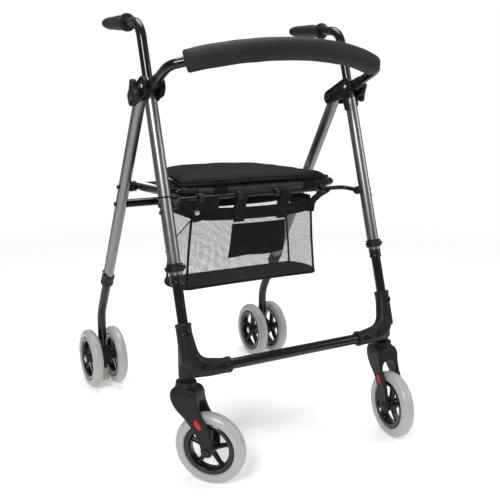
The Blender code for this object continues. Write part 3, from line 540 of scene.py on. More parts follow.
def rear_legs(name, side):
    upper_top, upper_end = 0.7525, 0.2975
    solid = tube("leg", [rear_leg(side, upper_top), rear_leg(side, upper_end)], TUBE_R, steps=40)
    holes = [tube("hole", [rear_leg(side, LOWEST_HOLE + HOLE_STEP * i, out) for out in (0.004, 0.03)],
        0.003, steps=16) for i in range(HOLES)]
    piece("rear_leg_tube_" + name, carved("leg", solid, holes), SILVER, "rear_frame",
        ["rear_upper_tube_" + name], 30)
    foot = rear_leg(side, COLLAR_Z)
    collar = lathe("collar", sleeve(COLLAR_R, 0.011, 0.0125, 0.0008, 0.0035), along_x(foot, REAR_UP),
        soft=0.0006)
    for vertex in collar.vertices:
        if (vertex.co - foot).dot(REAR_UP) > 0:
            # the mouth rises in a slanted tongue on the outer side
            vertex.co += REAR_UP * (TONGUE * (0.5 + 0.5 * side * (vertex.co.x - foot.x) / COLLAR_R) ** 2)
    piece("rear_leg_collar_" + name, collar, PLASTIC, "rear_frame", ["rear_collar_" + name])
    button = lathe("button", [(0, 0.0024), (0.0026, 0.002), (0.003, 0), (0, -0.002)],
        along_x(rear_leg(side, LOWEST_HOLE, TUBE_R), (side, 0, 0)), 20)
    piece("length_button_" + name, button, ZINC, "rear_lower_" + name)
    for index, z in enumerate((0.5492, 0.5075)):
        bolt("seat_bolt_%s_%d" % (name, index), rear_leg(side, z, TUBE_R), (side, 0, 0), 0.0055, 0.004,
            GLOSS, "rear_frame")

    wheel_at = joint_point("rear_wheel_spin_%s_outer" % name)
    bend_z = rear_leg(side, 0.0).z + (wheel_at.y - rear_leg(side, 0.0).y) * REAR_UP.z / REAR_UP.y
    path = rounded([rear_leg(side, 0.3909), (side * LEG_X, wheel_at.y, bend_z),
        (side * LEG_X, wheel_at.y, 0.0443)], 0.024, 10)
    piece("rear_leg_inner_" + name, tube("leg", path, REAR_INNER_R, steps=32), BLACK_PAINT,
        "rear_lower_" + name, ["rear_lower_tube_" + name])
    foot = [(0, 0.044), (0.012, 0.044), (0.0128, 0.04), (0.0128, 0.026), (0.0138, 0.024), (0.0138, 0.012),
        (0.0128, 0.01), (0, 0.01)]
    piece("brake_pad_" + name, lathe("foot", foot, Matrix.Translation((side * LEG_X, wheel_at.y, 0)),
        soft=0.0008), CREAM, "rear_lower_" + name, ["brake_foot_" + name])


# ---- hub, clamp knob and handle --------------------------
HUB_HEAD, HUB_HEAD_R, HUB_TAIL_R = Vector((-0.11, 0.767)), 0.0205, 0.0155
HUB_BOLT = Vector((-0.0765, 0.7585))
PLATE_MID, PLATE_T = 0.01725, 0.0085


def capsule(head, head_r, tail, tail_r, inset=0.0, steps=14):
    """Hull of two circles in the YZ plane, drawn inset from the edge."""
    heading = (head - tail).angle_signed(Vector((1, 0)))
    lean = acos((tail_r - head_r) / (head - tail).length)
    points = []
    for centre, radius, start, end in ((head, head_r, heading - pi + lean, heading + pi - lean),
            (tail, tail_r, heading + pi - lean, heading + pi + lean)):
        points += [centre + Vector((cos(a), sin(a))) * (radius - inset)
            for a in (start + (end - start) * i / steps for i in range(steps + 1))]
    return points


def in_leg_plane(x):
    """Places a plate drawn in (y, z) in the plane at x."""
    return Matrix(((0, 0, 1, x), (1, 0, 0, 0), (0, 1, 0, 0), (0, 0, 0, 1)))


def circle2(centre, radius, steps=20):
    return [centre + p for p in ring(radius, steps)]


def hub(name, side):
    tail = Vector((PIVOT_AT.y, PIVOT_AT.z))
    knob_at = Vector((KNOB_AT.y, KNOB_AT.z))
    outline = capsule(HUB_HEAD, HUB_HEAD_R, tail, HUB_TAIL_R)
    for which, facing in (("inner", -side), ("outer", side)):
        x = side * LEG_X + facing * PLATE_MID
        web = plate("hub", outline, PLATE_T * 0.7, in_leg_plane(x - facing * 0.001))
        rim = plate("hub", outline, PLATE_T, in_leg_plane(x),
            [capsule(HUB_HEAD, HUB_HEAD_R, tail, HUB_TAIL_R, 0.0026)], 0.0008)
        face = in_leg_plane(x + facing * 0.0015)
        inner_rib = plate("hub", capsule(HUB_BOLT, 0.0082, tail, 0.0098), 0.0055, face,
            [capsule(HUB_BOLT, 0.0082, tail, 0.0098, 0.0018)], 0.0006)
        boss = plate("hub", circle2(HUB_HEAD, 0.011, 28), 0.0052, face, [circle2(HUB_HEAD, 0.0062)], 0.001)
        slot_rib = plate("hub", capsule(HUB_BOLT.lerp(tail, 0.25), 0.0018, HUB_BOLT.lerp(tail, 0.75),
            0.00185), 0.0052, face, edge=0.0006)
        tip = 0.74 if side < 0 else 0.716 if which == "inner" else 0.725
        tab = sweep("tab", [front_leg(side, 0.757), front_leg(side, 0.6 * tip + 0.4 * 0.757),
            front_leg(side, tip)], strip(0.012, 0.0042), [(1, 1), (0.95, 1), (0.62, 0.7)], up=(1, 0, 0))
        tab.transform(Matrix.Translation((facing * PLATE_MID * 0.93, 0, 0)))
        piece("hub_plate_%s_%s" % (which, name), merged("hub", [web, rim, inner_rib, boss, slot_rib, tab]),
            PLASTIC, "front_frame", ["hub_%s_plate_%s" % (which, name)])
    for kind, at, radius in (("pivot_bolt", tail, 0.0062), ("hub_bolt", HUB_BOLT, 0.0048)):
        heads = [lathe("head", bolt_head(radius, 0.003), along_x(Vector((side * LEG_X + way * 0.0213, at.x,
            at.y)), (way, 0, 0)), 24) for way in (-1, 1)]
        shank = tube("shank", [(side * LEG_X - 0.021, at.x, at.y), (side * LEG_X + 0.021, at.x, at.y)],
            radius * 0.5, steps=20)
        piece("clamp_%s_%s" % (kind, name), merged(kind, heads + [shank]), GLOSS, "front_frame",
            [kind + "_" + name])
    for way in (-1, 1):
        at = Vector((side * LEG_X + way * 0.0218, HUB_HEAD.x - 0.0015, HUB_HEAD.y + 0.0008))
        bolt("hub_screw_%s_%d" % (name, way + 1), at, (way, 0, 0), 0.0042, 0.0022, ZINC, "front_frame")

    lobes = []
    for i in range(72):
        angle = 2 * pi * i / 72
        lobe = 0.5 + 0.5 * cos(3 * angle)
        radius = 0.013 + 0.0112 * lobe ** 1.6
        turned = angle + (pi / 2 if side < 0 else 0.25)
        lobes.append(Vector((radius * cos(turned), radius * sin(turned))))
    outer = side * (LEG_X + 0.0338 if side < 0 else LEG_X + 0.0318)
    at = in_leg_plane(outer)
    at.translation = Vector((outer, knob_at.x, knob_at.y))
    wings = plate("knob", lobes, 0.0118, at, edge=0.003)
    turned_parts = [lathe("knob", [(0, -0.0062), (0.0118, -0.0062), (0.011, 0.0105), (0.0085, 0.0122),
        (0, 0.0122)], along_x(Vector((side * (LEG_X + 0.0278), knob_at.x, knob_at.y)), (side, 0, 0)), 40,
        0.0008), lathe("knob", [(0, 0.0), (0.0036, 0.0), (0.0036, 0.022), (0, 0.022)],
        along_x(Vector((side * (LEG_X + 0.0105), knob_at.x, knob_at.y)), (side, 0, 0)), 20)]
    piece("clamp_knob_" + name, merged("knob", [wings] + turned_parts), PLASTIC, "knob_" + name,
        ["handle_knob_" + name])


GRIP_START, GRIP_END = Vector((0.0, 0.0155, 0.8969)), Vector((0.0, 0.1435, 0.904))


def handle(name, side):
    along = (GRIP_END - GRIP_START).normalized()
    slope = along.z / along.y
    leg_foot = front_leg(side, 0.6292)
    rise = FRONT_UP / FRONT_UP.z
    t = (GRIP_START.z - leg_foot.z + slope * (leg_foot.y - GRIP_START.y)) / (1 - slope * rise.y)
    shift = Vector((side * LEG_X, 0, 0))
    path = rounded([leg_foot, leg_foot + rise * t, GRIP_START + along * 0.115 + shift], 0.034, 12)
    piece("handle_bend_" + name, tube("handle", path, 0.01, steps=32), BLACK_PAINT, "handle_" + name,
        ["handle_tube_" + name])
    # the grip: a flange, a waisted palm swell with shallow rings, and a flattened end
    stations = [(0.0, 1.13, 1.13), (0.0012, 1.26, 1.26), (0.0048, 1.26, 1.26), (0.0062, 1.06, 1.06),
        (0.01, 0.97, 0.97), (0.028, 1.0, 1.0), (0.045, 1.05, 1.05), (0.064, 1.01, 1.01), (0.08, 0.96, 0.94),
        (0.094, 0.98, 0.92), (0.107, 1.06, 0.9), (0.118, 1.1, 0.84), (0.125, 1.06, 0.74),
        (0.128, 0.9, 0.55)]
    spots, scales = [], []
    for (a, ax, ay), (b, bx, by) in zip(stations, stations[1:]):
        steps = max(1, round((b - a) / 0.0016))
        for i in range(steps):
            t = i / steps
            d = a + (b - a) * t
            ridge = 1.0 - 0.035 * exp(-(((d % 0.021) - 0.0105) / 0.0012) ** 2) * (0.012 < d < 0.11)
            spots.append(GRIP_START + shift + along * d)
            scales.append(((ax + (bx - ax) * t) * ridge, (ay + (by - ay) * t) * ridge))
    spots.append(GRIP_END + shift)
    scales.append(stations[-1][1:])
    piece("grip_" + name, sweep("grip", spots, ring(0.0147, 40), scales), GRIP, "handle_" + name,
        ["handle_grip_" + name], 50)


# ---- backrest --------------------------------------------
PAD_END, PAD_SAG, PAD_R, BAR_R = Vector((0.2144, -0.2123, 0.8121)), 0.057, 0.0218, 0.0095
BOW_WAY = Vector((0.0, -0.894, 0.447))


def bow_point(share):
    """On the arc of the backrest; share runs from -1 at the right end to 1 at the left end."""
    radius = (PAD_END.x ** 2 + PAD_SAG ** 2) / (2 * PAD_SAG)
    angle = asin(PAD_END.x / radius) * share
    middle = Vector((0.0, PAD_END.y, PAD_END.z)) + BOW_WAY * (PAD_SAG - radius)
    return middle + Vector((radius * sin(angle), 0, 0)) + BOW_WAY * (radius * cos(angle))


def backrest():
    half = rounded([(LEG_X, -0.1185, 0.7713), (LEG_X, -0.144, 0.7821), (LEG_X, -0.1985, 0.8052),
        bow_point(1.0)], [0, 0.008, 0.022, 0], 8)
    bow = [bow_point(1 - i / 12) for i in range(1, 24)]
    piece("backrest_rail", tube("rail", half + bow + mirrored(half), BAR_R, steps=28), BLACK_PAINT,
        "front_frame", ["backrest_bar"])
    for name, side in SIDES.items():
        socket = sweep("socket", [(side * LEG_X, -0.121, 0.7724), (side * LEG_X, -0.133, 0.7774),
            (side * LEG_X, -0.142, 0.7813)], ring(0.0124, 32), [1.0, 0.98, 0.86])
        piece("backrest_socket_" + name, socket, PLASTIC, "front_frame")
    spots, scales = [], []
    for share in (1 - i / 48 for i in range(97)):
        from_end = (1 - abs(share)) * PAD_END.x
        lip = min(1.0, from_end / 0.0045)
        dent = 1.0 - 0.012 * exp(-((from_end - 0.012) / 0.006) ** 2)
        spots.append(bow_point(share))
        scales.append((0.88 + 0.12 * sin(lip * pi / 2)) * dent)
    mesh = sweep("foam", spots, ring(PAD_R, 44), scales)
    for vertex in mesh.vertices:
        vertex.co += noise.noise_vector(vertex.co * 30.0) * 0.0007
    foam = piece("backrest_foam", mesh, FOAM, "front_frame", ["backrest_pad"], 60)


# ---- front rod and seat ----------------------------------
ROD_Y, ROD_Z, ROD_R = -0.13, 0.544, 0.0048
SEAT_FRONT, RAIL_R = Vector((0.0, -0.104, 0.5543)), 0.008
SEAT_PIVOT = joint_point("seat_tilt")


def front_rod():
    end = front_leg(1, ROD_END_Z, -(TUBE_R + GAP))
    half = rounded([end, end + Vector((-0.0075, 0, 0)), (0.212, ROD_Y, ROD_Z), (0.0, ROD_Y, ROD_Z)],
        [0, 0.006, 0.018, 0], 8)
    path = half + mirrored(half[:-1])
    piece("seat_rod", tube("rod", path, ROD_R, steps=20), BLACK_PAINT, "front_frame", ["front_rod"])
    for name, side in SIDES.items():
        knuckle = lathe("knuckle", [(0, 0.0075), (0.0078, 0.0075), (0.009, 0.004), (0.009, -0.002),
            (0.0055, -0.0075), (0, -0.0075)], along_x(front_leg(side, ROD_END_Z, -(TUBE_R + 0.0072)),
            (-side, -0.5, 0)), 32, 0.001)
        piece("rod_end_" + name, knuckle, PLASTIC, "front_frame")
        if side < 0:
            band = lathe("band", sleeve(TUBE_R + 0.0012, TUBE_R - 0.0002, 0.0016),
                along_x(front_leg(side, 0.555), FRONT_UP), soft=0.0004)
            piece("leg_band_" + name, band, GLOSS, "front_frame")
    # clips that hold the seat's front tube on the rod, open at the front
    for index, x in enumerate((-0.15, -0.06, 0.03, 0.148)):
        arm = arc(x, ROD_Y, ROD_Z, 0.0085, 240, -20, 13) + [Vector((x, SEAT_FRONT.y - 0.0095,
            SEAT_FRONT.z - 0.004))]
        piece("rod_clip_%d" % index, sweep("clip", arm, strip(0.011, 0.0034), up=(0, 1, 0)), PLASTIC,
            "seat")


def cushion_outline(inset=0.0):
    """Plan of the cushion: wide at the front, sides bowed in, round behind."""
    half = [(0.0, -0.123), (0.186, -0.115), (0.16, 0.04), (0.125, 0.18), (0.0, 0.185)]
    both = half + [(-x, y) for x, y in reversed(half[1:-1])]
    path = rounded([Vector(p) for p in both], [0, 0.02, 0.07, 0.05, 0, 0.05, 0.07, 0.02], 8, closed=True)
    return [p - p.normalized() * inset for p in path]


def inflated(mesh, cap, pressure=4.0, frames=20):
    """The closed mesh after its fabric swells under pressure for a moment, no point moving beyond cap."""
    obj = bpy.data.objects.new("swelling", mesh)
    SCENE.collection.objects.link(obj)
    start = [v.co.copy() for v in mesh.vertices]
    cloth = obj.modifiers.new("Cloth", "CLOTH")
    cloth.settings.use_pressure = True
    cloth.settings.uniform_pressure_force = pressure
    cloth.settings.effector_weights.gravity = 0.0
    cloth.point_cache.frame_start, cloth.point_cache.frame_end = 1, frames
    for step in range(1, frames + 1):
        SCENE.frame_set(step)
    swollen = obj.evaluated_get(bpy.context.evaluated_depsgraph_get()).data
    ends = [v.co.copy() for v in swollen.vertices]
    obj.modifiers.clear()
    SCENE.frame_set(1)
    for vertex, a, b in zip(mesh.vertices, start, ends):
        move = b - a
        vertex.co = a + move * min(1.0, cap / max(move.length, 1e-9))
    bpy.data.objects.remove(obj, do_unlink=True)
    return mesh


def seat():
    low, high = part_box("seat_cushion")
    half = rounded([(LEG_X - TUBE_R - GAP, SEAT_PIVOT.y, SEAT_PIVOT.z), (0.211, SEAT_PIVOT.y, SEAT_PIVOT.z),
        (0.206, SEAT_FRONT.y, SEAT_FRONT.z), (0.0, SEAT_FRONT.y, SEAT_FRONT.z)], [0, 0.012, 0.04, 0], 10)
    path = half + mirrored(half[:-1])
    piece("seat_rail", tube("rail", path, RAIL_R, steps=24), BLACK_PAINT, "seat", ["seat_frame"])
    bar = tube("bar", [(-0.152, SEAT_FRONT.y, SEAT_FRONT.z), (0.152, SEAT_FRONT.y, SEAT_FRONT.z)], 0.0088,
        steps=28)
    piece("seat_front_sleeve", bar, GREY_PLASTIC, "seat")
    for name, side in SIDES.items():
        plug = lathe("plug", [(0.0086, -0.014), (0.0108, -0.012), (0.0108, -0.004), (0.0092, 0.0),
            (0.0102, 0.006), (0.0102, 0.014), (0.0084, 0.02), (0.0079, 0.02), (0.0079, -0.014)],
            along_x(Vector((side * 0.16, SEAT_FRONT.y, SEAT_FRONT.z)), (side, 0, 0)), 32, 0.0008)
        piece("seat_end_fitting_" + name, plug, PLASTIC, "seat")
        lug = sweep("lug", [(side * 0.215, SEAT_PIVOT.y + 0.004, SEAT_PIVOT.z),
            (side * 0.2275, SEAT_PIVOT.y, SEAT_PIVOT.z)], ring(0.0115, 28))
        piece("seat_lug_" + name, lug, PLASTIC, "seat")

    outline = cushion_outline(0.004)
    slab = plate("slab", outline, high.z - low.z - 0.009, Matrix.Translation((0, 0,
        (low.z + high.z) / 2 - 0.002)), edge=0.003)
    mesh = fused("slab", [slab], 0.005, 2)
    mesh = inflated(mesh, 0.005)
    obj = bpy.data.objects.new("cushion", mesh)
    finer = obj.modifiers.new("Finer", "SUBSURF")
    finer.levels = finer.render_levels = 1
    mesh = evaluated(obj)
    for vertex in mesh.vertices:
        co = vertex.co
        edge_share = min(1.0, Vector((co.x / 0.185, (co.y - 0.03) / 0.155)).length)
        if co.z > (low.z + high.z) / 2 - 0.002:
            co.z += 0.0035 * (1 - edge_share ** 2) + 0.0012 * noise.noise(Vector((co.x, co.y, 0)) * 22)
        else:
            co.z = max(co.z, low.z + 0.0003)
            rise = max(0.0, 1 - abs(co.x) / 0.15) * max(0.0, (-0.085 - co.y) / 0.035)
            co.z += 0.005 * min(1.0, rise)
    pad = piece("seat_pad", mesh, SEAT_CLOTH, "seat", ["seat_cushion"], 60)
    seam_z = (low.z + high.z) / 2 - 0.004
    welt = [Vector((p.x, p.y, seam_z + 0.003 * max(0.0, 1 - abs(p.x) / 0.14) * (p.y < -0.1)))
        for p in cushion_outline(0.0016)]
    piece("seat_piping", sweep("piping", welt, ring(0.0024, 10), closed=True), WEBBING, "seat")

    # the cloth under the cushion, stretched between the rails
    rows = []
    for i in range(13):
        t = i / 12
        y, half = SEAT_FRONT.y + 0.172 * t, 0.2 - 0.004 * t
        rows.append([Vector((half * (k / 8 - 1), y, low.z - 0.0006 - 0.0035 * t - 0.003
            * (1 - abs(k / 8 - 1)) * t * (1 - t))) for k in range(17)])
    sling = mesh_of("sling", rows, False, False, running([row[8] for row in rows]),
        running(rows[6]) + [0.4])
    sling = piece("seat_sling", sling, WEBBING, "seat", sharp=80)

    # webbing loops that hold the cushion on the front tube
    for index, x in enumerate((-0.094, 0.1275)):
        loop = [Vector((x, -0.06, low.z + 0.0002)), Vector((x, -0.085, low.z + 0.0001)),
            *arc(x, SEAT_FRONT.y, SEAT_FRONT.z, 0.0107, 80, 20, 14), Vector((x, -0.112, low.z + 0.0035)),
            Vector((x, -0.124, low.z + 0.01))]
        band = sweep("loop", loop, strip(0.03, 0.0018), up=(0, 0, 1))
        webbing = piece("seat_loop_%d" % index, band, WEBBING, "seat", sharp=60)
        running(loop)[-1]


# ---- storage bag -----------------------------------------
BAG_TOP, BAG_DEPTH, BAG_FRONT, BAG_REAR = 0.515, 0.175, -0.085, 0.03
BAG_HALF, BAG_FLARE, BAG_BULGE = 0.15, 0.015, 0.02   # half width at the rim, and what it gains below
BAG_PULL = 0.04                                         # the straps pull the rim's middle forwards
BAND = 0.026


def bag_plan(v):
    """Plan of the bag at v, 0 at its rim and 1 at its floor, with as many points at every v."""
    half = BAG_HALF + BAG_FLARE * v ** 0.8
    corners = [(-half, BAG_FRONT), (half, BAG_FRONT), (half, BAG_REAR), (-half, BAG_REAR)]
    path = rounded([Vector(c) for c in corners], 0.012, 5, closed=True)
    plan = []
    for i, a in enumerate(path):
        b = path[(i + 1) % len(path)]
        parts = 36 if i in (5, 17) else 14 if i in (11, 23) else 1
        plan += [a.lerp(b, k / parts) for k in range(parts)]
    return plan


def bag_skin(p, v, out=0.0):
    """Where cloth lies at plan point p: pulled forwards at its rim, bulging at its sides."""
    across = max(0.0, 1 - (p.x / 0.155) ** 2)
    deep = (p.y - BAG_FRONT) / (BAG_REAR - BAG_FRONT)
    slack = sin(pi * min(1.0, v))
    ripple = 0.0016 * slack * noise.noise(Vector((p.x * 15, p.y * 15, v * 2.0)))
    pull = across ** 0.8 * (0.005 * v - BAG_PULL * (1 - v)) * max(0.0, 1 - deep * 6)
    tuck = -0.006 * slack * across * (deep > 0.95)
    bulge = copysign(BAG_BULGE * sin(pi * min(1.0, max(0.0, deep))) * v ** 1.5, p.x) * (1 - across)
    lift = 0.01 * (1 - v) ** 3 * (1 - across) ** 3 + 0.012 * (1 - v) ** 4 * (deep > 0.9)
    outwards = Vector((p.x, (p.y - 0.5 * (BAG_FRONT + BAG_REAR)) * 3, 0)).normalized() * out
    return Vector((p.x + bulge, p.y + pull + tuck + ripple, BAG_TOP - BAG_DEPTH * v + lift)) + outwards


def bag_soft(obj):
    """Bag cloth rides on the front frame, on a mesh of its own."""
    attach(obj, "front_frame")
    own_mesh(obj)


def bag_cloth(name, rows, look, wrap=True, soft=True):
    """A sheet of cloth over rows of points, its surface map in metres."""
    middle = rows[len(rows) // 2] + (rows[len(rows) // 2][:1] if wrap else [])
    around, lengths = running(middle), running([row[len(row) // 3] for row in rows])
    mesh = mesh_of(name, rows, wrap, False, lengths, around + around[-1:])
    obj = piece(name, mesh, look, "front_frame", sharp=80, rides=not soft)
    if soft:
        bag_soft(obj)
    return obj


def bag_cord(name, path, radius, closed=False):
    bag_soft(piece(name, sweep(name, path, ring(radius, 12), closed=closed), WEBBING, "front_frame",
        rides=False))


def strap(name, path, width, up=(1, 0, 0), body="front_frame"):
    mesh = sweep(name, path, strip(0.0018, width), up=up)
    piece(name, mesh, WEBBING, body, sharp=60)
    running(path)[-1]


def bag():
    levels = [i / 22 for i in range(23)]
    net = bag_cloth("bag_wall", [[bag_skin(p, 0.06 + 0.94 * v) for p in bag_plan(0.06 + 0.94 * v)]
        for v in levels], NET)
    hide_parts("storage_bag")
    bag_cloth("bag_band", [[bag_skin(p, v * BAND / BAG_DEPTH, 0.0009)
        for p in bag_plan(v * BAND / BAG_DEPTH)] for v in levels[::4] + [1]], BAG_CLOTH)
    base = [bag_skin(p, 1.0) for p in bag_plan(1.0)]
    middle = Vector((0, 0.5 * (BAG_FRONT + BAG_REAR), base[0].z))
    floor_rows = [[middle.lerp(p, 0.01 + 0.99 * k / 8) - Vector((0, 0, 0.004 * (1 - (k / 8) ** 2)))
        for p in base] for k in range(9)]
    bag_cloth("bag_floor", floor_rows, BAG_CLOTH)

    # pocket on the front wall, its lower edge a little uneven
    rows = []
    for i in range(11):
        t = i / 10
        rows.append([])
        for k in range(21):
            x = -0.068 - 0.003 * t + (0.1315 + 0.0105 * t) * k / 20
            v = (BAG_TOP - 0.48 + 0.077 * t + 0.0014 * sin(70 * x) * t) / BAG_DEPTH
            rows[-1].append(bag_skin(Vector((x, BAG_FRONT)), v)
                - Vector((0, 0.002 + 0.003 * sin(pi * t), 0)))
    bag_cloth("bag_pocket", rows, BAG_CLOTH, wrap=False)

    # bound edges: down the corners, round the floor and the rim
    for side in SIDES.values():
        for which, y in (("front", BAG_FRONT + 0.0035), ("rear", BAG_REAR - 0.0035)):
            path = [bag_skin(Vector((side * (BAG_HALF + BAG_FLARE * v ** 0.8 - 0.0035), y)), v, 0.0014)
                for v in levels[2:]]
            bag_cord("bag_piping_%s_%d" % (which, side + 1), path, 0.0026)
    bag_cord("bag_hem", base, 0.0028, closed=True)
    bag_cord("bag_rim", [bag_skin(p, 0.0) for p in bag_plan(0.0)], 0.0018, closed=True)
    bag_cord("bag_elastic", [bag_skin(Vector((-BAG_HALF - 0.012 * t, BAG_FRONT + 0.105 * t)),
        0.15 + 0.5 * t, 0.004) for t in (i / 8 for i in range(9))], 0.0012)

    # straps over the rod, their ends stitched below the band
    for index, x in enumerate((-0.054, 0.053)):
        front = [bag_skin(Vector((x, BAG_FRONT)), v) for v in (0.175, 0.09, 0.0)]
        path = [p - Vector((0, 0.003, 0)) for p in front]
        path += arc(x, ROD_Y, ROD_Z, 0.0064, 180, -20, 10)
        path += [p + Vector((0, 0.0024, 0)) for p in reversed(front[1:])]
        strap("bag_strap_%d" % index, path, 0.027)

    # a flap on the right joins the end of the band to the rod; a corner strap holds each end
    for name, side in SIDES.items():
        if side < 0:
            low = [Vector((side * x, BAG_FRONT)) for x in (0.098, 0.11, 0.122, 0.134, 0.148)]
            rows = [[bag_skin(p, 0.05).lerp(Vector((p.x * 1.12, ROD_Y - 0.006, ROD_Z)), t)
                - Vector((0, 0, 0.004 * sin(pi * t))) for p in low] for t in (i / 8 for i in range(9))]
            bag_cloth("bag_flap_" + name, rows, BAG_CLOTH, wrap=False, soft=False)
        corner = bag_skin(Vector((side * 0.145, BAG_FRONT)), 0.0)
        end = Vector((-0.188 if side < 0 else 0.16, ROD_Y, ROD_Z - 0.001))
        path = [corner + Vector((-side * 0.003, -0.0045, -0.033)), corner + Vector((0, -0.005, -0.01)),
            corner.lerp(end, 0.5) + Vector((0, -0.004, -0.004)), end + Vector((0, -0.0066, -0.002)),
            end + Vector((0, 0, 0.0064)), end + Vector((0, 0.0064, -0.001)),
            corner.lerp(end, 0.6) + Vector((0, 0.004, -0.002))]
        strap("bag_corner_strap_" + name, rounded(path, 0.008, 3), 0.021, up=(1, 0, side * 0.5))
        if side < 0:
            snap = [(0, 0.0026), (0.0038, 0.0024), (0.0062, 0.0012), (0.0066, -0.0006), (0, -0.001)]
            piece("bag_snap", lathe("snap", snap, along_x(corner + Vector((0.001, -0.0072, -0.012)),
                (0, -1, 0.15)), 32), ZINC, "front_frame")

    # straps from the rear rim round the rear cross tube, which swings with the rear frame
    for index, x in enumerate((-0.11, 0.11)):
        path = [Vector((x, BAG_REAR + 0.0015, 0.5)), Vector((x, BAG_REAR + 0.0015, 0.52)),
            Vector((x, BAG_REAR + 0.022, 0.52)), *arc(x, CROSS_TUBE.y, CROSS_TUBE.z, 0.0106, 160, -20, 14)]
        strap("bag_rear_strap_%d" % index, path, 0.025, body="rear_frame")


# ---- corner brackets, casters and wheels -----------------
CROSS = middle_of("cross_bar")
CROSS_R = 0.011
STEM_Y = joint_point("caster_swivel_left").y


def bracket(name, side):
    corner = Vector((side * LEG_X, CROSS.y + 0.001, CROSS.z))
    top, mouth = front_leg(side, 0.3205), Vector((side * 0.1545, CROSS.y, CROSS.z))
    bar_side = corner.lerp(mouth, 0.45)
    parts = [tube("elbow", rounded([top, corner, mouth], 0.07, 12), 0.0157, steps=32),
        tube("boss", [(side * LEG_X, STEM_Y, 0.2142), (side * LEG_X, STEM_Y, 0.285)], 0.015, steps=32),
        tube("web", rounded([front_leg(side, 0.306), corner + Vector((-side * 0.011, 0.002, 0.011)),
        mouth.lerp(corner, 0.16)], 0.1, 12), 0.0148, steps=32),
        tube("heel", [corner + Vector((-side * 0.002, 0.004, 0.001)), bar_side], 0.0153, steps=32),
        tube("shin", [front_leg(side, 0.314), front_leg(side, 0.248)], 0.0155, steps=32),
        tube("lip", [front_leg(side, 0.3208), front_leg(side, 0.315)], 0.0164, steps=32),
        tube("lip", [mouth, mouth + Vector((side * 0.0065, 0, 0))], 0.0166, steps=32)]
    piece("frame_corner_" + name, fused("bracket", parts, 0.0015, 9), PLASTIC, "front_lower",
        ["corner_bracket_" + name], 60)
    spots = [(Vector((side * 0.2438, 0, 0.302)), FORWARD_OF_LEG),
        (Vector((side * 0.211, 0, CROSS.z + 0.008)), Vector((0, -1, 0.12))),
        (Vector((side * 0.174, 0, CROSS.z + 0.0045)), Vector((0, -1, 0.25)))]
    for index, (at, way) in enumerate(spots):
        axis_point = front_leg(side, at.z) if index == 0 else Vector((at.x, CROSS.y, CROSS.z))
        surface = axis_point + way * 0.0163
        surface.x = at.x
        if index:
            surface.z = at.z
        rim = lathe("rim", [(0.0048, 0.0004), (0.0056, 0.0016), (0.0068, 0.0012), (0.0074, -0.003),
            (0.0048, -0.003)], along_x(surface, way), 32)
        piece("bolt_recess_%s_%d" % (name, index), rim, GLOSS, "front_lower")
        bolt("corner_bolt_%s_%d" % (name, index), surface - way * 0.0012, way, 0.0044, 0.002, GLOSS,
            "front_lower")


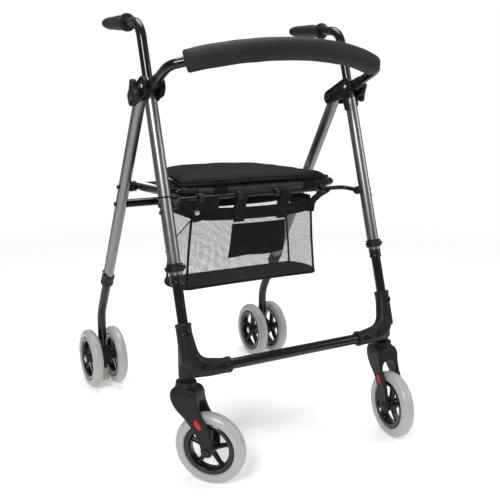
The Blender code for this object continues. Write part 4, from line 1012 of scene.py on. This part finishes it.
def fork(name, side):
    """Caster fork in its own frame, stem on Z and wheel ahead along X, then turned to its heading."""
    stem = joint_point("caster_swivel_" + name)
    hub_at = joint_point("front_wheel_spin_" + name)
    heading = atan2(hub_at.y - stem.y, hub_at.x - stem.x)
    placed = Matrix.Translation((stem.x, stem.y, 0)) @ Matrix.Rotation(heading, 4, "Z")
    trail, axle_z, crown = (hub_at - stem).xy.length, hub_at.z, 0.197
    upright = Matrix.Rotation(pi / 2, 4, "X")
    front_edge = [(0.0225, crown), (0.03, 0.186), (0.0312, 0.168), (0.0385, 0.148), (0.0545, 0.124),
        (0.0622, 0.1)]
    foot = [(trail + 0.0128 * cos(a), axle_z + 0.0128 * sin(a))
        for a in (radians(15 - 21 * i) for i in range(11))]
    rear_edge = [(0.037, 0.083), (0.0262, 0.108), (0.007, 0.134), (-0.0135, 0.152), (-0.0245, 0.17),
        (-0.0262, 0.184), (-0.0225, crown)]
    side_view = plate("fork", rounded([Vector(p) for p in front_edge + foot + rear_edge], 0.01, 3,
        closed=True), 0.05, upright, edge=0.0035)
    half = [(0.0215, crown + 0.002), (0.025, 0.183), (0.025, 0.12), (0.0236, 0.05)]
    across = [Vector(p) for p in half + [(-y, z) for y, z in reversed(half)]]
    slot = [Vector((0.0175 * cos(a), 0.152 + 0.0175 * sin(a))) for a in (pi * i / 12 for i in range(13))]
    slot = [Vector((0.0175, 0.02))] + slot + [Vector((-0.0175, 0.02))]
    body = carved("fork", side_view, [plate("across", across, 0.3, in_leg_plane(0.0), edge=0.0001)],
        "INTERSECT")
    body = carved("fork", body, [plate("slot", slot, 0.3, in_leg_plane(0.0), edge=0.0001)])
    crown_dome = lathe("dome", [(0, crown + 0.001), (0.0205, crown + 0.001), (0.024, 0.19), (0.025, 0.18),
        (0.0225, 0.1715), (0, 0.171)])
    mesh = fused("fork", [body, crown_dome], 0.0013, 10)
    mesh.transform(placed)
    body_name = "caster_" + name
    piece("fork_" + name, mesh, PLASTIC, body_name, ["caster_fork_" + name], 60)
    dome = [(0, 0.238), (0.0055, 0.238), (0.0055, 0.2136), (0.0105, 0.213), (0.0105, 0.2085),
        (0.019, 0.2078), (0.0208, 0.206), (0.0208, 0.2025), (0.0198, 0.2012), (0.0216, 0.2),
        (0.0216, 0.1975), (0, 0.1973)]
    piece("fork_cap_" + name, lathe("cap", dome, Matrix.Translation((stem.x, stem.y, 0)), soft=0.001),
        PLASTIC, body_name, ["caster_cap_" + name])
    neck = [(0.0055, 0.2155), (0.0092, 0.215), (0.0092, 0.2136), (0.0055, 0.2136)]
    piece("stem_washer_" + name, lathe("washer", neck, Matrix.Translation((stem.x, stem.y, 0))), ZINC,
        body_name)
    axle_way = placed.to_3x3() @ Vector((0, 1, 0))
    heads = [lathe("head", bolt_head(0.0068, 0.003, 0.5),
        along_x(hub_at + axle_way * (way * 0.0247), axle_way * way), 30) for way in (-1, 1)]
    heads.append(tube("pin", [hub_at - axle_way * 0.0245, hub_at + axle_way * 0.0245], 0.0042, steps=20))
    piece("fork_axle_" + name, merged("axle", heads), GLOSS, body_name, ["front_axle_" + name])
    for index, way in enumerate((-1, 1)):
        lean = Matrix.Rotation(radians(-33), 4, "Y")
        oval = lathe("oval", [(0, 0.0016), (0.7, 0.0013), (0.92, 0.0007), (1.0, -0.0012), (0, -0.0012)],
            None, 40)
        oval.transform(Matrix.Diagonal((0.0052, 0.0118, 1.0, 1.0)))
        oval.transform(placed @ Matrix.Translation((0.0333, way * 0.025, 0.129)) @ lean
            @ Matrix.Rotation(-way * pi / 2, 4, "X"))
        piece("fork_inset_%s_%d" % (name, index), oval, RED, body_name)


def wheel_shapes(kind, rim_r, tyre_r, half_width, half_hub):
    """Spoked centre and tyre about Z, shared by the wheels of one kind."""
    inner = rim_r - 0.0125
    half_rim = half_width - 0.0035
    rim = lathe("rim", [(inner, 0.006), (inner + 0.003, half_rim), (rim_r - 0.003, half_rim + 0.0012),
        (rim_r, half_rim - 0.001), (rim_r, 0.001 - half_rim), (rim_r - 0.003, -half_rim - 0.0012),
        (inner + 0.003, -half_rim), (inner, -0.006)], None, 72, 0.001)
    boss = lathe("boss", [(0.0044, half_hub), (0.0092, half_hub), (0.0104, half_hub - 0.002),
        (0.0108, 0.0085), (0.0135, 0.007), (0.0135, -0.007), (0.0108, -0.0085), (0.0104, 0.002 - half_hub),
        (0.0092, -half_hub), (0.0044, -half_hub)], None, 48, 0.0006)
    spokes = []
    for i in range(5):
        turn = Matrix.Rotation(2 * pi * i / 5 + 0.31, 4, "Z")
        for section, spread in ((ring(1.0, 20), (0.0058, 0.0058, 0.0046, 0.007)),
                (strip(2.0, 2.0), (0.0013, 0.0082, 0.0012, 0.0084))):
            spoke = sweep("spoke", [(0.009, 0, 0), (0.02, 0, 0), (inner - 0.006, 0, 0),
                (inner + 0.003, 0, 0)], section, [(spread[0], spread[1]),
                (spread[0] * 0.95, spread[1] * 0.9), (spread[2], spread[1] * 0.8),
                (spread[2] * 1.5, spread[3] * 0.85)])
            spoke.transform(turn)
            spokes.append(spoke)
    centre = merged(kind + "_centre", [rim, boss] + spokes)
    low, shoulder = rim_r + GAP, tyre_r - 0.0085
    crown = [(low, half_width - 0.003), (low + 0.003, half_width - 0.0006), (shoulder - 0.0016, half_width),
        (shoulder - 0.0008, half_width - 0.0006), (shoulder, half_width),
        (tyre_r - 0.003, half_width - 0.0038), (tyre_r, half_width - 0.0085)]
    profile = crown + [(r, -h) for r, h in reversed(crown)]
    tyre = lathe(kind + "_tyre", profile, None, 96, 0.0022)
    return centre, tyre


FRONT_SHAPES = wheel_shapes("front", 0.053, 0.0735, 0.0145, 0.0155)
REAR_SHAPES = wheel_shapes("rear", 0.057, 0.075, 0.0135, 0.015)


def wheel(tag, shapes, joint, body, centre_node, tyre_node):
    at = along_x(joint_point(joint), Vector(JOINTS[joint]["axis"]))
    for stem, mesh, look, node in (("spokes_", shapes[0], GLOSS, centre_node),
            ("tread_", shapes[1], TYRE, tyre_node)):
        mesh = mesh.copy()
        mesh.transform(at)
        piece(stem + tag, mesh, look, body, [node], 40)


def rear_wheels(name, side):
    body = "brake_carriage_" + name
    axle = joint_point("rear_wheel_spin_%s_outer" % name)
    for which in ("outer", "inner"):
        tag = "%s_%s" % (name, which)
        wheel("rear_" + tag, REAR_SHAPES, "rear_wheel_spin_" + tag, "rear_wheel_" + tag,
            "wheel_centre_rear_" + tag, "tyre_rear_" + tag)
    middle = Vector((side * LEG_X, axle.y, axle.z))
    block = rounded([(-0.0158, -0.0172), (0.0158, -0.0172), (0.0158, 0.0172), (-0.0158, 0.0172)], 0.006, 4,
        closed=True)
    bore = list(reversed(ring(0.0113, 32)))
    body_mesh = plate("block", block, 0.044, Matrix.Translation((middle.x, middle.y, 0.07775)), [bore],
        0.0022)
    cup = lathe("cup", sleeve(0.0142, 0.0113, 0.003, 0.0012, 0.0018),
        Matrix.Translation((middle.x, middle.y, 0.0985)), soft=0.0005)
    piece("wheel_block_" + name, merged("block", [body_mesh, cup]), PLASTIC, body,
        ["wheel_carriage_" + name])
    shafts = []
    for way in (-1, 1):
        shafts.append(tube("shaft", [middle + Vector((way * 0.014, 0, 0)),
            middle + Vector((way * 0.0474, 0, 0))], 0.0042, steps=20))
        shafts.append(lathe("cap", [(0, 0.003), (0.003, 0.0028), (0.0052, 0.0016), (0.006, 0.0004),
            (0.0075, 0.0002), (0.0075, -0.0002), (0, -0.0002)],
            along_x(middle + Vector((way * 0.0474, 0, 0)), (way, 0, 0)), 32))
        shafts.append(lathe("spacer", [(0.0043, 0.0012), (0.0072, 0.001), (0.0072, 0.0), (0.0043, 0.0)],
            along_x(middle + Vector((way * 0.0158, 0, 0)), (way, 0, 0)), 32))
    piece("rear_axle_" + name, merged("axle", shafts), ZINC, body)


# ---- put the walker together -----------------------------
for name, side in SIDES.items():
    front_legs(name, side)
    rear_legs(name, side)
    hub(name, side)
    handle(name, side)
    bracket(name, side)
    fork(name, side)
    wheel("front_" + name, FRONT_SHAPES, "front_wheel_spin_" + name, "front_wheel_" + name,
        "wheel_centre_front_" + name, "tyre_front_" + name)
    rear_wheels(name, side)
backrest()
front_rod()
seat()
bag()
piece("cross_tube", tube("cross", [(-0.205, CROSS.y, CROSS.z), (0.205, CROSS.y, CROSS.z)], CROSS_R,
    steps=32), BLACK_PAINT, "front_lower", ["cross_bar"])
ends = [Vector((side * (LEG_X - TUBE_R - GAP), CROSS_TUBE.y, CROSS_TUBE.z)) for side in SIDES.values()]
piece("rear_cross_sleeve", tube("cross", ends, BAR_R), BLACK_PAINT, "rear_frame", ["rear_cross_tube"])

# ---- floor, light and view -------------------------------
FLOOR_GLOW, FADE_START, FADE_END, SOFT_LIGHT = 0.3, 0.9, 2.6, 0.28
FLOOR = Look("studio_floor", None, (0.9, 0.9, 0.9), 0.6)
FLOOR.tint(FLOOR.noise(1.5), (0.895, 0.895, 0.895), (0.905, 0.905, 0.905))
FLOOR.shader.inputs["Emission Color"].default_value = (1.0, 1.0, 1.0, 1.0)
FLOOR.shader.inputs["Emission Strength"].default_value = FLOOR_GLOW
# the floor ends in a soft edge, beyond which only the backdrop shows
reach = FLOOR.node("ShaderNodeVectorMath", {0: FLOOR.place((1, 1, 1))}, operation="LENGTH").outputs["Value"]
FLOOR.tree.links.new(FLOOR.ramp(reach, 1.0, 0.0, FADE_START, FADE_END), FLOOR.shader.inputs["Alpha"])
floor = bpy.data.objects.new("Floor", mesh_of("Floor", [[(-6, -6, 0), (6, -6, 0)], [(-6, 6, 0), (6, 6, 0)]],
    wrap=False, caps=False))
floor.data.materials.append(FLOOR.material)
SCENE.collection.objects.link(floor)

world = bpy.data.worlds.new("Studio")
world.use_nodes = True
surroundings = world.node_tree.nodes["Background"]
surroundings.inputs["Color"].default_value = (1.0, 1.0, 1.0, 1.0)
# the backdrop is seen at full white, and lights the walker much less than that
seen = world.node_tree.nodes.new("ShaderNodeLightPath")
level = world.node_tree.nodes.new("ShaderNodeMapRange")
level.inputs["To Min"].default_value, level.inputs["To Max"].default_value = SOFT_LIGHT, 1.0
world.node_tree.links.new(seen.outputs["Is Camera Ray"], level.inputs["Value"])
world.node_tree.links.new(level.outputs["Result"], surroundings.inputs["Strength"])
SCENE.world = world
for name, at, size, power in (("Key", (-1.9, -1.9, 2.3), 0.9, 66.0), ("Fill", (2.2, -1.6, 1.7), 1.3, 22.0),
        ("Top", (0.2, 0.4, 2.7), 1.6, 45.0)):
    lamp = bpy.data.objects.new(name, bpy.data.lights.new(name, "AREA"))
    lamp.data.size, lamp.data.energy = size, power
    lamp.location = at
    lamp.rotation_euler = (Vector((0, 0, 0.45)) - Vector(at)).to_track_quat("-Z", "Y").to_euler()
    SCENE.collection.objects.link(lamp)
SCENE.view_settings.view_transform = "Standard"
